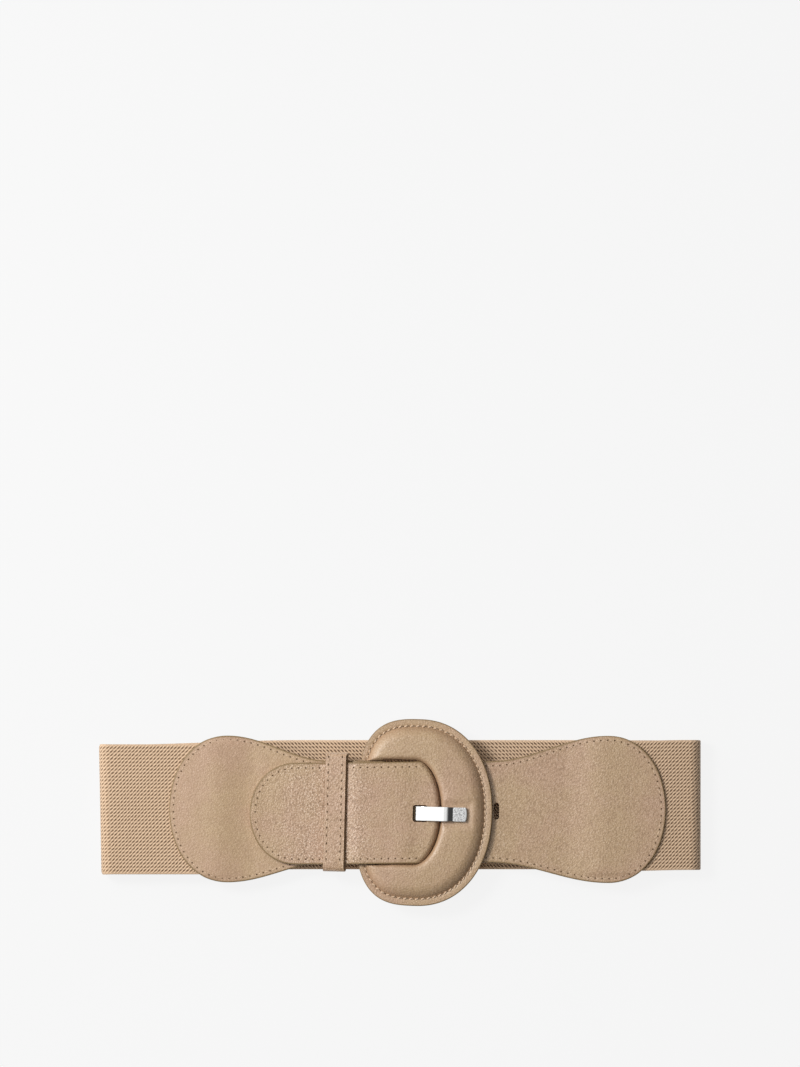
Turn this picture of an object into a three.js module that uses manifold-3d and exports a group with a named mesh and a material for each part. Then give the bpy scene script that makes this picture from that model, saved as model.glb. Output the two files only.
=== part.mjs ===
// An elastic stretch belt, fastened and lying flat with its buckle up: one wide elastic band whose
// two ends are sewn into leather tabs, closed by a billet through a padded, leather-covered buckle.
// Millimetres. +X runs along the belt, +Y across it, +Z up from the surface that it lies on.
import * as THREE from 'three';
import { mergeVertices } from 'three/addons/utils/BufferGeometryUtils.js';
import Module from 'manifold-3d';

const wasm = await Module();
wasm.setup();

// Clearance between pieces that touch
const GAP = 0.3;

// Elastic band, one strip folded flat into a loop
const BELT_LENGTH = 348;
const BAND_WIDTH = 75;
const BAND_THICKNESS = 1.8;
const HOLLOW_HEIGHT = 9;
const BAND_END_INSIDE_LEFT_TAB = 34.8;
const BAND_END_INSIDE_RIGHT_TAB = 45;

// Leather plies of both tabs
const PLY = 1.2;
const ROUND_END_FULLNESS = 2.1;
const NECK_WIDTH = 58.6;
const CLOSING_LENGTH = 15;

// Left tab, which carries the buckle
const LEFT_TAB_END_X = -132.8;
const LEFT_ROUND_LENGTH = 33.6;
const LEFT_TAB_WIDTH = 84.6;
const LEFT_WAIST_LENGTH = 59;
const TURNED_UNDER_LENGTH = 18;
const NECK_RISE_LENGTH = 13;

// Right tab, which runs on as the billet
const RIGHT_TAB_END_X = 153.2;
const RIGHT_ROUND_LENGTH = 33.1;
const RIGHT_TAB_WIDTH = 84.8;
const RIGHT_WAIST_LENGTH = 68;
const BILLET_TIP_X = -86.4;
const BILLET_TIP_LENGTH = 27;
const BILLET_RISE_LENGTH = 18;
const BILLET_TIP_LIFT = 0.5;
const BILLET_SETTLE_LENGTH = 10;
const BILLET_COLUMNS = 8;
const DIP_CLEARANCE = 4;
const DIP_LENGTH = 15;
const DIP_FULLNESS = 2.1;

// Slots for the prong
const SLOT_COUNT = 3;
const SLOT_PITCH = 23.6;
const SLOT_LENGTH = 3.1;
const SLOT_WIDTH = 9.7;
const SLOT_CORNER = 1.5;
const USED_SLOT_LENGTH = 9;
const FIRST_SLOT_X = 7;
const SLOT_Y = 0.9;

// Buckle: a stiff plate with a padded cover on three sides, its left side a bare bar
const BUCKLE_X = 10.5;
const BUCKLE_HEIGHT = 107.6;
const BUCKLE_REACH_RIGHT = 42.8;
const BUCKLE_REACH_LEFT = 33.3;
const BUCKLE_FULLNESS_RIGHT = 2.15;
const BUCKLE_FULLNESS_LEFT = 3;
const BUCKLE_CORNER_REACH = 36;
const BUCKLE_TURN_DEG = -1.6;
const PLATE = 1.6;
const BAR_WIDTH = 12.5;
const OPENING_HEIGHT = 61;
const OPENING_LENGTH = 34.2;
const OPENING_ROUND_LENGTH = 15.7;
const FLANGE_WIDTH = 4.5;
const FLANGE_THICKNESS = 1.2;
const PAD_HEIGHT = 3.8;
const BUCKLE_STEPS = 96;

// Prong, one bent steel strip
const PRONG_WIDTH = 8.1;
const PRONG_THICKNESS = 1.6;
const PRONG_PAD_LENGTH = 8.3;
const PRONG_STEP_LENGTH = 3.6;
const PRONG_STEP_DROP = 1.1;
const PRONG_CREST_LENGTH = 2.4;
const PRONG_TIP_X = 38.6;
const PRONG_HOOK_LENGTH = 9;
const PAD_DENT = 1.1;

// Keeper, a loose leather loop round the neck and the billet
const KEEPER_X = -37;
const KEEPER_WIDTH = 12.9;
const KEEPER_SPAN = 68.4;
const KEEPER_PLY = 1.2;
const KEEPER_CORNER = 3.2;
const KEEPER_TURN_DEG = -1.4;

// How far each piece lies off the middle line, because the belt was laid down by hand
const LEFT_TAB_Y = 2.1;
const LEFT_NECK_Y = 0.6;
const RIGHT_TAB_Y = 1.8;
const RIGHT_NECK_Y = 0.4;
const BILLET_TIP_Y = -0.6;
const PRONG_Y = -0.5;
const KEEPER_Y = 0.3;
const LEFT_BAND_Y = 1.9;
const BACK_BAND_Y = 4.6;
const RIGHT_FOLD_Y = 4.4;
const RIGHT_BAND_Y = 3.6;

// Heights, from the surface up
const frontBandZ = 1.5 * BAND_THICKNESS + HOLLOW_HEIGHT;
const spreadOverBand = BAND_THICKNESS / 2 + GAP + PLY / 2;
const spreadClosed = (PLY + GAP) / 2;
const backPlyZ = frontBandZ - spreadOverBand;
const neckMidZ = backPlyZ + spreadClosed;
const neckFrontZ = backPlyZ + 2 * spreadClosed;
const billetHalf = spreadClosed + PLY / 2;
const plateBottomZ = neckMidZ + billetHalf + GAP;
const plateTopZ = plateBottomZ + PLATE;
const barMidZ = (plateBottomZ + plateTopZ) / 2;
const coverBottomZ = plateTopZ + GAP;
const coverTopZ = coverBottomZ + FLANGE_THICKNESS + PAD_HEIGHT;
const wrapRadius = PLATE / 2 + GAP + PLY / 2;
const hookRadius = PLATE / 2 + GAP + PRONG_THICKNESS / 2;
const tallestWrap = Math.max(wrapRadius + PLY / 2, hookRadius + PRONG_THICKNESS / 2);
const billetOverBarZ = barMidZ + tallestWrap + GAP + billetHalf;
const billetOnNeckZ = neckFrontZ + PLY / 2 + GAP + billetHalf;
const prongPadZ = coverTopZ - PAD_DENT + GAP + PRONG_THICKNESS / 2;

// Stations along the belt
const foldRadius = (frontBandZ - BAND_THICKNESS / 2) / 2;
const foldX = BELT_LENGTH / 2 - foldRadius - BAND_THICKNESS / 2;
const leftTabX = LEFT_TAB_END_X + LEFT_ROUND_LENGTH;
const rightTabX = RIGHT_TAB_END_X - RIGHT_ROUND_LENGTH;
const leftBandEndX = LEFT_TAB_END_X + BAND_END_INSIDE_LEFT_TAB;
const rightBandEndX = RIGHT_TAB_END_X - BAND_END_INSIDE_RIGHT_TAB;
const barLeftX = BUCKLE_X - BUCKLE_REACH_LEFT;
const barRightX = barLeftX + BAR_WIDTH;
const openingRightX = barRightX + OPENING_LENGTH;
const openingRoundX = openingRightX - OPENING_ROUND_LENGTH;
const neckHalf = NECK_WIDTH / 2;

const materials = {
  elastic: new THREE.MeshStandardMaterial({ color: 0xc0a07e, roughness: 0.85, metalness: 0 }),
  leather: new THREE.MeshStandardMaterial({ color: 0xb89878, roughness: 0.6, metalness: 0 }),
  steel: new THREE.MeshStandardMaterial({ color: 0xc9c9c6, roughness: 0.3, metalness: 1 }),
};

// An easy S-curve from 0 to 1
function ease(share) {
  const held = Math.min(1, Math.max(0, share));
  return (1 - Math.cos(Math.PI * held)) / 2;
}

// A value that eases from station to station; each row holds x and value
function along(rows, x) {
  let result = rows[0].value;
  for (let i = 1; i < rows.length; i += 1) {
    const from = rows[i - 1];
    const share = (x - from.x) / (rows[i].x - from.x);
    if (share > 0) result = from.value + (rows[i].value - from.value) * ease(share);
  }
  return result;
}

// Even steps from one value to another, both ends included
function steps(from, to, count) {
  return Array.from({ length: count + 1 }, (_, i) => from + ((to - from) * i) / count);
}

// Steps over a round end, closer together where the outline turns fastest
function roundSteps(end, centre, count) {
  const almost = 0.999;
  return steps(0, 1, count).map((s) => centre + (end - centre) * almost * Math.cos((Math.PI / 2) * s));
}

// Half-width of a superellipse at a share of its reach
function full(share, fullness) {
  return Math.max(0, 1 - Math.abs(share) ** fullness) ** (1 / fullness);
}

// A leather ply whose height changes across it too. A station holds x and the half-width and middle
// y there, and surfaceAt(x, y) gives the height z of the ply's middle and the slope along x.
function ply(stations, columns, surfaceAt) {
  const rows = stations.map((station) => steps(-1, 1, columns).map((share) => {
    const y = station.y + share * station.half;
    const { x, z, slope } = surfaceAt(station.x, y);
    const lift = { x: (-Math.sin(slope) * PLY) / 2, z: (Math.cos(slope) * PLY) / 2 };
    return [[x + lift.x, y, z + lift.z], [x - lift.x, y, z - lift.z]];
  }));
  const points = rows.flat(2);
  const at = (i, j, under) => 2 * (i * (columns + 1) + j) + under;
  const corners = [];
  const quad = (a, b, c, d) => corners.push([a, b, c], [a, c, d]);
  for (let i = 0; i < rows.length - 1; i += 1) {
    for (let j = 0; j < columns; j += 1) {
      quad(at(i, j, 0), at(i + 1, j, 0), at(i + 1, j + 1, 0), at(i, j + 1, 0));
      quad(at(i, j, 1), at(i, j + 1, 1), at(i + 1, j + 1, 1), at(i + 1, j, 1));
    }
    quad(at(i, 0, 1), at(i + 1, 0, 1), at(i + 1, 0, 0), at(i, 0, 0));
    quad(at(i, columns, 0), at(i + 1, columns, 0), at(i + 1, columns, 1), at(i, columns, 1));
  }
  const last = rows.length - 1;
  for (let j = 0; j < columns; j += 1) {
    quad(at(0, j, 1), at(0, j, 0), at(0, j + 1, 0), at(0, j + 1, 1));
    quad(at(last, j, 0), at(last, j, 1), at(last, j + 1, 1), at(last, j + 1, 0));
  }
  return meshFrom(points, corners);
}

// A closed mesh from points and triangle corners
function meshFrom(points, corners) {
  const geometry = new THREE.BufferGeometry();
  geometry.setAttribute('position', new THREE.Float32BufferAttribute(points.flat(), 3));
  geometry.setIndex(corners.flat());
  return geometry;
}

// A strip of even thickness. Its path lies in the XZ plane, and each path point gives x, z, the
// strip's half-width there and the y of its middle line.
function strip(path, thickness) {
  const points = [];
  path.forEach((p, i) => {
    const before = path[Math.max(0, i - 1)];
    const after = path[Math.min(path.length - 1, i + 1)];
    const ahead = new THREE.Vector2(after.x - before.x, after.z - before.z).normalize();
    const rise = { x: (-ahead.y * thickness) / 2, z: (ahead.x * thickness) / 2 };
    const [low, high] = [p.y - p.half, p.y + p.half];
    points.push([p.x + rise.x, high, p.z + rise.z], [p.x + rise.x, low, p.z + rise.z]);
    points.push([p.x - rise.x, low, p.z - rise.z], [p.x - rise.x, high, p.z - rise.z]);
  });
  const corners = [];
  for (let i = 0; i < path.length - 1; i += 1) {
    for (let side = 0; side < 4; side += 1) {
      const next = (side + 1) % 4;
      const [a, b, c, d] = [4 * i + side, 4 * i + next, 4 * i + 4 + next, 4 * i + 4 + side];
      corners.push([a, b, c], [a, c, d]);
    }
  }
  const last = points.length - 4;
  corners.push([0, 2, 1], [0, 3, 2], [last, last + 1, last + 2], [last, last + 2, last + 3]);
  return meshFrom(points, corners);
}

// An arc of a path round a centre, between two angles in degrees
function arc(centreX, centreZ, radius, fromDeg, toDeg, count, rest) {
  return steps(fromDeg, toDeg, count).map((deg) => {
    const angle = THREE.MathUtils.degToRad(deg);
    return { x: centreX + radius * Math.cos(angle), z: centreZ + radius * Math.sin(angle), ...rest };
  });
}

// A geometry as a manifold solid, and back
function toSolid(geometry) {
  const bare = geometry.clone();
  bare.deleteAttribute('normal');
  bare.deleteAttribute('uv');
  const merged = mergeVertices(bare, 1e-4);
  return new wasm.Manifold(new wasm.Mesh({
    numProp: 3,
    vertProperties: new Float32Array(merged.attributes.position.array),
    triVerts: new Uint32Array(merged.index.array),
  }));
}

function fromSolid(solid) {
  const mesh = solid.getMesh();
  const geometry = new THREE.BufferGeometry();
  geometry.setAttribute('position', new THREE.BufferAttribute(new Float32Array(mesh.vertProperties), 3));
  geometry.setIndex(new THREE.BufferAttribute(new Uint32Array(mesh.triVerts), 1));
  return geometry;
}

// Cutters are taken away one after another
function cut(geometry, cutters) {
  return fromSolid(cutters.reduce((solid, cutter) => solid.subtract(toSolid(cutter)), toSolid(geometry)));
}

// A box between two corners
function boxBetween(low, high) {
  const box = new THREE.BoxGeometry(high[0] - low[0], high[1] - low[1], high[2] - low[2]);
  return box.translate((low[0] + high[0]) / 2, (low[1] + high[1]) / 2, (low[2] + high[2]) / 2);
}

// A rectangle with round corners, drawn into a shape or a hole
function roundedRectangle(outline, low, high, corner) {
  outline.absarc(high[0] - corner, high[1] - corner, corner, 0, Math.PI / 2);
  outline.absarc(low[0] + corner, high[1] - corner, corner, Math.PI / 2, Math.PI);
  outline.absarc(low[0] + corner, low[1] + corner, corner, Math.PI, 1.5 * Math.PI);
  outline.absarc(high[0] - corner, low[1] + corner, corner, 1.5 * Math.PI, 2 * Math.PI);
  return outline;
}

// A punched slot as a cutter as tall as the whole belt; its width lies across the belt
function slotCutter(leftX, y, length) {
  const half = SLOT_WIDTH / 2;
  const shape = roundedRectangle(
    new THREE.Shape(), [leftX, y - half], [leftX + length, y + half], SLOT_CORNER);
  return new THREE.ExtrudeGeometry(shape, { depth: 2 * coverTopZ, bevelEnabled: false, curveSegments: 5 });
}

// Buckle pieces are modelled about the buckle's own centre, then turned and put in place
function placedOnBuckle(geometry) {
  return geometry.rotateZ(THREE.MathUtils.degToRad(BUCKLE_TURN_DEG)).translate(BUCKLE_X, 0, 0);
}

// The elastic: front run inside the left tab, left fold, back run, right fold, front run
function elasticBand() {
  const half = BAND_WIDTH / 2;
  const backRow = [
    { x: -foldX, value: LEFT_BAND_Y },
    { x: -foldX / 3, value: BACK_BAND_Y },
    { x: foldX / 2, value: BACK_BAND_Y },
    { x: foldX, value: RIGHT_FOLD_Y },
  ];
  const rightRow = [{ x: rightBandEndX, value: RIGHT_BAND_Y }, { x: foldX, value: RIGHT_FOLD_Y }];
  const backZ = BAND_THICKNESS / 2;
  const foldMidZ = backZ + foldRadius;
  const inward = 4;
  const path = [
    ...steps(leftBandEndX, -foldX + inward, 3).map((x) => ({ x, z: frontBandZ, half, y: LEFT_BAND_Y })),
    ...arc(-foldX, foldMidZ, foldRadius, 90, 270, 12, { half, y: LEFT_BAND_Y }),
    ...steps(-foldX + inward, foldX - inward, 24).map((x) => ({ x, z: backZ, half, y: along(backRow, x) })),
    ...arc(foldX, foldMidZ, foldRadius, -90, 90, 12, { half, y: RIGHT_FOLD_Y }),
    ...steps(foldX - inward, rightBandEndX, 3).map((x) => ({
      x, z: frontBandZ, half, y: along(rightRow, x),
    })),
  ];
  return strip(path, BAND_THICKNESS);
}

// Half-width of a tab at a distance from its round end's widest line; negative is the round end
function tabHalf(distance, roundLength, width, waistLength) {
  if (distance < 0) return (width / 2) * full(distance / roundLength, ROUND_END_FULLNESS);
  return neckHalf + (width / 2 - neckHalf) * (1 - ease(distance / waistLength));
}

function leftTabPoint(x, z) {
  const half = tabHalf(x - leftTabX, LEFT_ROUND_LENGTH, LEFT_TAB_WIDTH, LEFT_WAIST_LENGTH);
  const rows = [
    { x: leftTabX, value: LEFT_TAB_Y },
    { x: leftTabX + LEFT_WAIST_LENGTH, value: LEFT_NECK_Y },
  ];
  return { x, z, half, y: along(rows, x) };
}

// The front ply runs over the bar, round it and back beneath, slotted for the prong
function leftTabFront() {
  const overBarZ = barMidZ + wrapRadius;
  const rows = [
    { x: leftBandEndX, value: frontBandZ + spreadOverBand },
    { x: leftBandEndX + CLOSING_LENGTH, value: neckFrontZ },
    { x: barLeftX - NECK_RISE_LENGTH, value: neckFrontZ },
    { x: barLeftX, value: overBarZ },
  ];
  const underRows = [
    { x: barRightX - TURNED_UNDER_LENGTH, value: backPlyZ },
    { x: barLeftX, value: barMidZ - wrapRadius },
  ];
  const turnedEndX = barRightX - wrapRadius - TURNED_UNDER_LENGTH - PLY;
  const neck = { half: neckHalf, y: LEFT_NECK_Y };
  const outward = [
    ...roundSteps(LEFT_TAB_END_X, leftTabX, 12),
    ...steps(leftTabX, barRightX, 32).slice(1, -1),
  ];
  const path = [
    ...outward.map((x) => leftTabPoint(x, along(rows, x))),
    ...arc(barRightX, barMidZ, wrapRadius, 90, -90, 8, neck),
    ...steps(barRightX, turnedEndX, 10).slice(1).map((x) => ({ x, z: along(underRows, x), ...neck })),
  ];
  const slotReach = hookRadius + PRONG_THICKNESS / 2 + 2 * GAP;
  const slotLength = BAR_WIDTH + 2 * slotReach;
  const slot = slotCutter(barLeftX - slotReach - BUCKLE_X, PRONG_Y, slotLength);
  return cut(strip(path, PLY), [placedOnBuckle(slot)]);
}

// The back ply ends where the turned-under end of the front ply begins
function leftTabBack() {
  const endX = barRightX - wrapRadius - TURNED_UNDER_LENGTH - PLY - 2 * GAP;
  const stations = [
    ...roundSteps(LEFT_TAB_END_X, leftTabX, 12),
    ...steps(leftTabX, endX, 16).slice(1),
  ];
  return strip(stations.map((x) => leftTabPoint(x, backPlyZ)), PLY);
}

// How far a point lies inside the round edge of the buckle's opening, measured along the belt
function insideRoundEdge(x, y) {
  const turn = THREE.MathUtils.degToRad(BUCKLE_TURN_DEG);
  const fromX = x - BUCKLE_X;
  const onBuckle = {
    x: BUCKLE_X + fromX * Math.cos(turn) + y * Math.sin(turn),
    y: -fromX * Math.sin(turn) + y * Math.cos(turn),
  };
  const edgeX = openingRoundX + OPENING_ROUND_LENGTH * full((2 * onBuckle.y) / OPENING_HEIGHT, 2);
  return edgeX - onBuckle.x;
}

// Middle height of the right tab and billet. From the tip it lies on the neck, rises over the bar,
// stays up as far as the prong and dips all along the opening's round edge to pass under the plate.
function billetMidZ(x, y) {
  if (x < barRightX) {
    return along([
      { x: BILLET_TIP_X, value: billetOnNeckZ + BILLET_TIP_LIFT },
      { x: BILLET_TIP_X + BILLET_SETTLE_LENGTH, value: billetOnNeckZ },
      { x: barLeftX - BILLET_RISE_LENGTH, value: billetOnNeckZ },
      { x: barLeftX, value: billetOverBarZ },
    ], x);
  }
  if (x < openingRightX) {
    const share = (insideRoundEdge(x, y) - DIP_CLEARANCE) / DIP_LENGTH;
    const dip = (1 - Math.min(1, Math.max(0, share))) ** DIP_FULLNESS;
    return billetOverBarZ + (neckMidZ - billetOverBarZ) * dip;
  }
  return along([
    { x: rightBandEndX - CLOSING_LENGTH, value: neckMidZ },
    { x: rightBandEndX, value: frontBandZ },
  ], x);
}

// One ply of the right tab: side 1 is the face, side -1 the back
function rightTabPly(side) {
  const tipCentre = BILLET_TIP_X + BILLET_TIP_LENGTH;
  const outline = (x) => {
    const tabShape = tabHalf(rightTabX - x, RIGHT_ROUND_LENGTH, RIGHT_TAB_WIDTH, RIGHT_WAIST_LENGTH);
    const tipShape = neckHalf * full((tipCentre - x) / BILLET_TIP_LENGTH, ROUND_END_FULLNESS);
    const y = along([
      { x: tipCentre, value: BILLET_TIP_Y },
      { x: rightTabX - RIGHT_WAIST_LENGTH, value: RIGHT_NECK_Y },
      { x: rightTabX, value: RIGHT_TAB_Y },
    ], x);
    return { x, y, half: x < tipCentre ? tipShape : tabShape };
  };
  const surfaceAt = (x, y) => {
    const spread = along([
      { x: rightBandEndX - CLOSING_LENGTH, value: spreadClosed },
      { x: rightBandEndX, value: spreadOverBand },
    ], x);
    const probe = 0.1;
    const slope = Math.atan2(billetMidZ(x + probe, y) - billetMidZ(x - probe, y), 2 * probe);
    const offset = side * spread;
    return { x: x - offset * Math.sin(slope), z: billetMidZ(x, y) + offset * Math.cos(slope), slope };
  };
  const stations = [
    ...roundSteps(BILLET_TIP_X, tipCentre, 12),
    ...steps(tipCentre, barRightX, 12).slice(1),
    ...steps(barRightX, openingRightX, 18).slice(1),
    ...steps(openingRightX, rightTabX, 16).slice(1, -1),
    ...roundSteps(RIGHT_TAB_END_X, rightTabX, 12).reverse(),
  ];
  const usedSlot = slotCutter(FIRST_SLOT_X - BUCKLE_X, PRONG_Y, USED_SLOT_LENGTH);
  const freeSlots = Array.from({ length: SLOT_COUNT - 1 }, (_, i) => (
    slotCutter(FIRST_SLOT_X + (i + 1) * SLOT_PITCH, SLOT_Y, SLOT_LENGTH)));
  const blank = ply(stations.map(outline), BILLET_COLUMNS, surfaceAt);
  return cut(blank, [placedOnBuckle(usedSlot), ...freeSlots]);
}

// Where the buckle's outer outline and its opening lie, from the buckle's own centre
function insideBuckle(x, y) {
  if (x < -BUCKLE_REACH_LEFT || Math.abs(x) > BUCKLE_REACH_RIGHT) return false;
  const reach = x > 0 ? BUCKLE_REACH_RIGHT : BUCKLE_CORNER_REACH;
  const fullness = x > 0 ? BUCKLE_FULLNESS_RIGHT : BUCKLE_FULLNESS_LEFT;
  return Math.abs(y) < (BUCKLE_HEIGHT / 2) * full(x / reach, fullness);
}

function insideOpening(x, y) {
  if (x < barRightX - BUCKLE_X || x > openingRightX - BUCKLE_X) return false;
  const share = Math.max(0, (x + BUCKLE_X - openingRoundX) / OPENING_ROUND_LENGTH);
  return Math.abs(y) < (OPENING_HEIGHT / 2) * full(share, 2);
}

// The farthest point inside a region along a direction from the opening's middle
function edgeAlong(angle, inside) {
  const startX = barRightX - BUCKLE_X + OPENING_LENGTH / 2;
  let near = 0;
  let far = BUCKLE_HEIGHT;
  for (let i = 0; i < 40; i += 1) {
    const middle = (near + far) / 2;
    if (inside(startX + middle * Math.cos(angle), middle * Math.sin(angle))) near = middle;
    else far = middle;
  }
  return new THREE.Vector2(startX + near * Math.cos(angle), near * Math.sin(angle));
}

// The ring's section goes round the buckle, with a stop at each corner of the opening; profile rows
// hold share (across the ring) and z
function buckleRing(profileAt) {
  const corner = Math.atan2(OPENING_HEIGHT, -OPENING_LENGTH);
  const evenAngles = steps(0, 2 * Math.PI, BUCKLE_STEPS).slice(1);
  const angles = [...evenAngles, corner, 2 * Math.PI - corner].sort((a, b) => a - b);
  const points = [];
  const corners = [];
  let size = 0;
  angles.forEach((angle) => {
    const outer = edgeAlong(angle, insideBuckle);
    const inner = edgeAlong(angle, insideOpening);
    const rows = profileAt(outer.distanceTo(inner));
    size = rows.length;
    rows.forEach((row) => {
      const at = outer.clone().lerp(inner, row.share);
      points.push([at.x, at.y, row.z]);
    });
  });
  for (let i = 0; i < angles.length; i += 1) {
    for (let j = 0; j < size; j += 1) {
      const [row, nextRow] = [i * size, ((i + 1) % angles.length) * size];
      const k = (j + 1) % size;
      corners.push([row + j, nextRow + j, nextRow + k], [row + j, nextRow + k, row + k]);
    }
  }
  return meshFrom(points, corners);
}

// The stiff plate under the cover, a closed ring with the bar as its left side
function bucklePlate() {
  return placedOnBuckle(buckleRing(() => [
    { share: 0, z: plateBottomZ },
    { share: 0, z: plateTopZ },
    { share: 1, z: plateTopZ },
    { share: 1, z: plateBottomZ },
  ]));
}

// The padded cover: a sewn flat rim, then a dome that rolls down into the opening.
// Columns: share of the padded width, share of the pad's height.
const PAD_PROFILE = [
  { inward: 0, rise: 0 },
  { inward: 0.05, rise: 0.45 },
  { inward: 0.16, rise: 0.78 },
  { inward: 0.36, rise: 0.97 },
  { inward: 0.6, rise: 1 },
  { inward: 0.8, rise: 0.85 },
  { inward: 0.93, rise: 0.5 },
  { inward: 1, rise: 0 },
];

function buckleCover() {
  const flangeTopZ = coverBottomZ + FLANGE_THICKNESS;
  const ring = buckleRing((width) => {
    const rim = FLANGE_WIDTH / width;
    return [
      { share: 0, z: coverBottomZ },
      { share: 0, z: flangeTopZ },
      ...PAD_PROFILE.map((row) => ({
        share: rim + (1 - rim) * row.inward,
        z: flangeTopZ + PAD_HEIGHT * row.rise,
      })),
      { share: 1, z: coverBottomZ },
    ];
  });
  const neckSpace = boxBetween(
    [BUCKLE_X - BUCKLE_HEIGHT, -OPENING_HEIGHT / 2, 0],
    [barRightX + wrapRadius, OPENING_HEIGHT / 2, 2 * coverTopZ],
  );
  const seatHalf = PRONG_WIDTH / 2 + GAP;
  const padSeat = boxBetween(
    [openingRightX - BUCKLE_X - GAP, PRONG_Y - seatHalf, coverTopZ - PAD_DENT],
    [PRONG_TIP_X - BUCKLE_X + GAP, PRONG_Y + seatHalf, 2 * coverTopZ],
  );
  return cut(placedOnBuckle(ring), [neckSpace, placedOnBuckle(padSeat)]);
}

// A path of straight stretches through bends, each bend a point of x and z
function straightPath(bends, rest) {
  return bends.flatMap((bend, i) => {
    const next = bends[i + 1];
    if (!next) return [{ ...bend, ...rest }];
    return steps(0, 1, 3).slice(0, -1).map((s) => ({
      x: bend.x + (next.x - bend.x) * s, z: bend.z + (next.z - bend.z) * s, ...rest,
    }));
  });
}

// The prong's hook goes under the bar and round it, and its shank runs under the billet, up through
// the used slot and over to the dent of the cover, where its bent end rests
function prong() {
  const across = { half: PRONG_WIDTH / 2, y: PRONG_Y };
  const left = barLeftX - BUCKLE_X;
  const tip = PRONG_TIP_X - BUCKLE_X;
  const overBarZ = barMidZ + hookRadius;
  const crestZ = prongPadZ + PRONG_STEP_DROP;
  const crestEnd = tip - PRONG_PAD_LENGTH - PRONG_STEP_LENGTH;
  const path = [
    ...steps(left + PRONG_HOOK_LENGTH, left, 2).map((x) => ({ x, z: barMidZ - hookRadius, ...across })),
    ...arc(left, barMidZ, hookRadius, 270, 90, 10, across).slice(1),
    ...straightPath([
      { x: left + BAR_WIDTH, z: overBarZ },
      { x: FIRST_SLOT_X - BUCKLE_X + GAP, z: overBarZ },
      { x: crestEnd - PRONG_CREST_LENGTH, z: crestZ },
      { x: crestEnd, z: crestZ },
      { x: tip - PRONG_PAD_LENGTH, z: prongPadZ },
      { x: tip, z: prongPadZ },
    ], across),
  ];
  return placedOnBuckle(strip(path, PRONG_THICKNESS));
}

// The keeper is a closed leather ring, as high as the stack that it holds together
function keeper() {
  const insideLow = backPlyZ - PLY / 2 - GAP;
  const highestX = KEEPER_X + KEEPER_WIDTH / 2 + KEEPER_PLY;
  const insideHigh = billetMidZ(highestX, 0) + billetHalf + GAP;
  const half = KEEPER_SPAN / 2;
  const ring = roundedRectangle(
    new THREE.Shape(), [-half, insideLow - KEEPER_PLY], [half, insideHigh + KEEPER_PLY], KEEPER_CORNER);
  const insideHalf = half - KEEPER_PLY;
  ring.holes.push(roundedRectangle(
    new THREE.Path(), [-insideHalf, insideLow], [insideHalf, insideHigh], KEEPER_CORNER - KEEPER_PLY));
  const loop = new THREE.ExtrudeGeometry(ring, {
    depth: KEEPER_WIDTH, bevelEnabled: false, curveSegments: 5,
  });
  loop.rotateX(Math.PI / 2).rotateZ(Math.PI / 2).translate(-KEEPER_WIDTH / 2, 0, 0);
  return loop.rotateZ(THREE.MathUtils.degToRad(KEEPER_TURN_DEG)).translate(KEEPER_X, KEEPER_Y, 0);
}

const belt = new THREE.Group();
const pieces = [
  { name: 'elastic_band', geometry: elasticBand(), material: materials.elastic },
  { name: 'left_tab_front', geometry: leftTabFront(), material: materials.leather },
  { name: 'left_tab_back', geometry: leftTabBack(), material: materials.leather },
  { name: 'right_tab_front', geometry: rightTabPly(1), material: materials.leather },
  { name: 'right_tab_back', geometry: rightTabPly(-1), material: materials.leather },
  { name: 'buckle_plate', geometry: bucklePlate(), material: materials.leather },
  { name: 'buckle_cover', geometry: buckleCover(), material: materials.leather },
  { name: 'prong', geometry: prong(), material: materials.steel },
  { name: 'keeper', geometry: keeper(), material: materials.leather },
];
pieces.forEach(({ name, geometry, material }) => {
  const mesh = new THREE.Mesh(geometry, material);
  mesh.name = name;
  belt.add(mesh);
});

export default belt;
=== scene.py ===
# An elastic stretch belt, fastened and lying flat with its buckle up. Sizes are in millimetres and
# become metres where a mesh is laid out. +X runs along the belt, +Y across it, +Z up.
import math

import bpy
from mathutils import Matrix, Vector


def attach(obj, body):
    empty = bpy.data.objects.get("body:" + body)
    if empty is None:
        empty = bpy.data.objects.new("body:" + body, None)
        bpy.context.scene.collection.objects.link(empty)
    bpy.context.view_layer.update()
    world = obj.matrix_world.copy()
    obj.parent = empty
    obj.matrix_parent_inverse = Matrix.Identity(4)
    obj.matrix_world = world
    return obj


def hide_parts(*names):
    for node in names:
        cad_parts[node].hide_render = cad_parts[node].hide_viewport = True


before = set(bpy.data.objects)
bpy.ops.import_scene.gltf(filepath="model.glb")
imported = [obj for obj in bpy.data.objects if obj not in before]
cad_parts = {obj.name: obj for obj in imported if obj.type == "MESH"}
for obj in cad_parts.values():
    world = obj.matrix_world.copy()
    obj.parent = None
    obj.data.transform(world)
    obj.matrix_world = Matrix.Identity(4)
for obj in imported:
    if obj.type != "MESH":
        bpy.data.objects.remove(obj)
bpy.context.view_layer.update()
MM = 0.001


# The view: a camera straight above the belt, a pale table top, and soft light from the upper left.
# The belt lies low in the photograph's frame, which the lens shift gives without tilting the view.
CAMERA_HEIGHT = 1800
PIXEL = 0.577
PHOTO_HEIGHT_PX = 1067
PHOTO_MIDDLE_X_PX, PHOTO_MIDDLE_Y_PX = 400, 533.5
BELT_MIDDLE_X_PX, BELT_MIDDLE_Y_PX = 399.8, 812.6
SENSOR = 36
VIEWED_LEVEL = 11
FLOOR_SPAN = 6000
TABLE_GLOW, TABLE_TONE = 0.865, 0.06
SKY_LOW, SKY_HIGH = 0.05, 1.22
SKY_BRIGHT_SIDE = (-0.605, 0.252, 0.756)
SKY_EDGES = 0.45, 0.9
BACKDROP_TONE = 0.88

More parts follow.
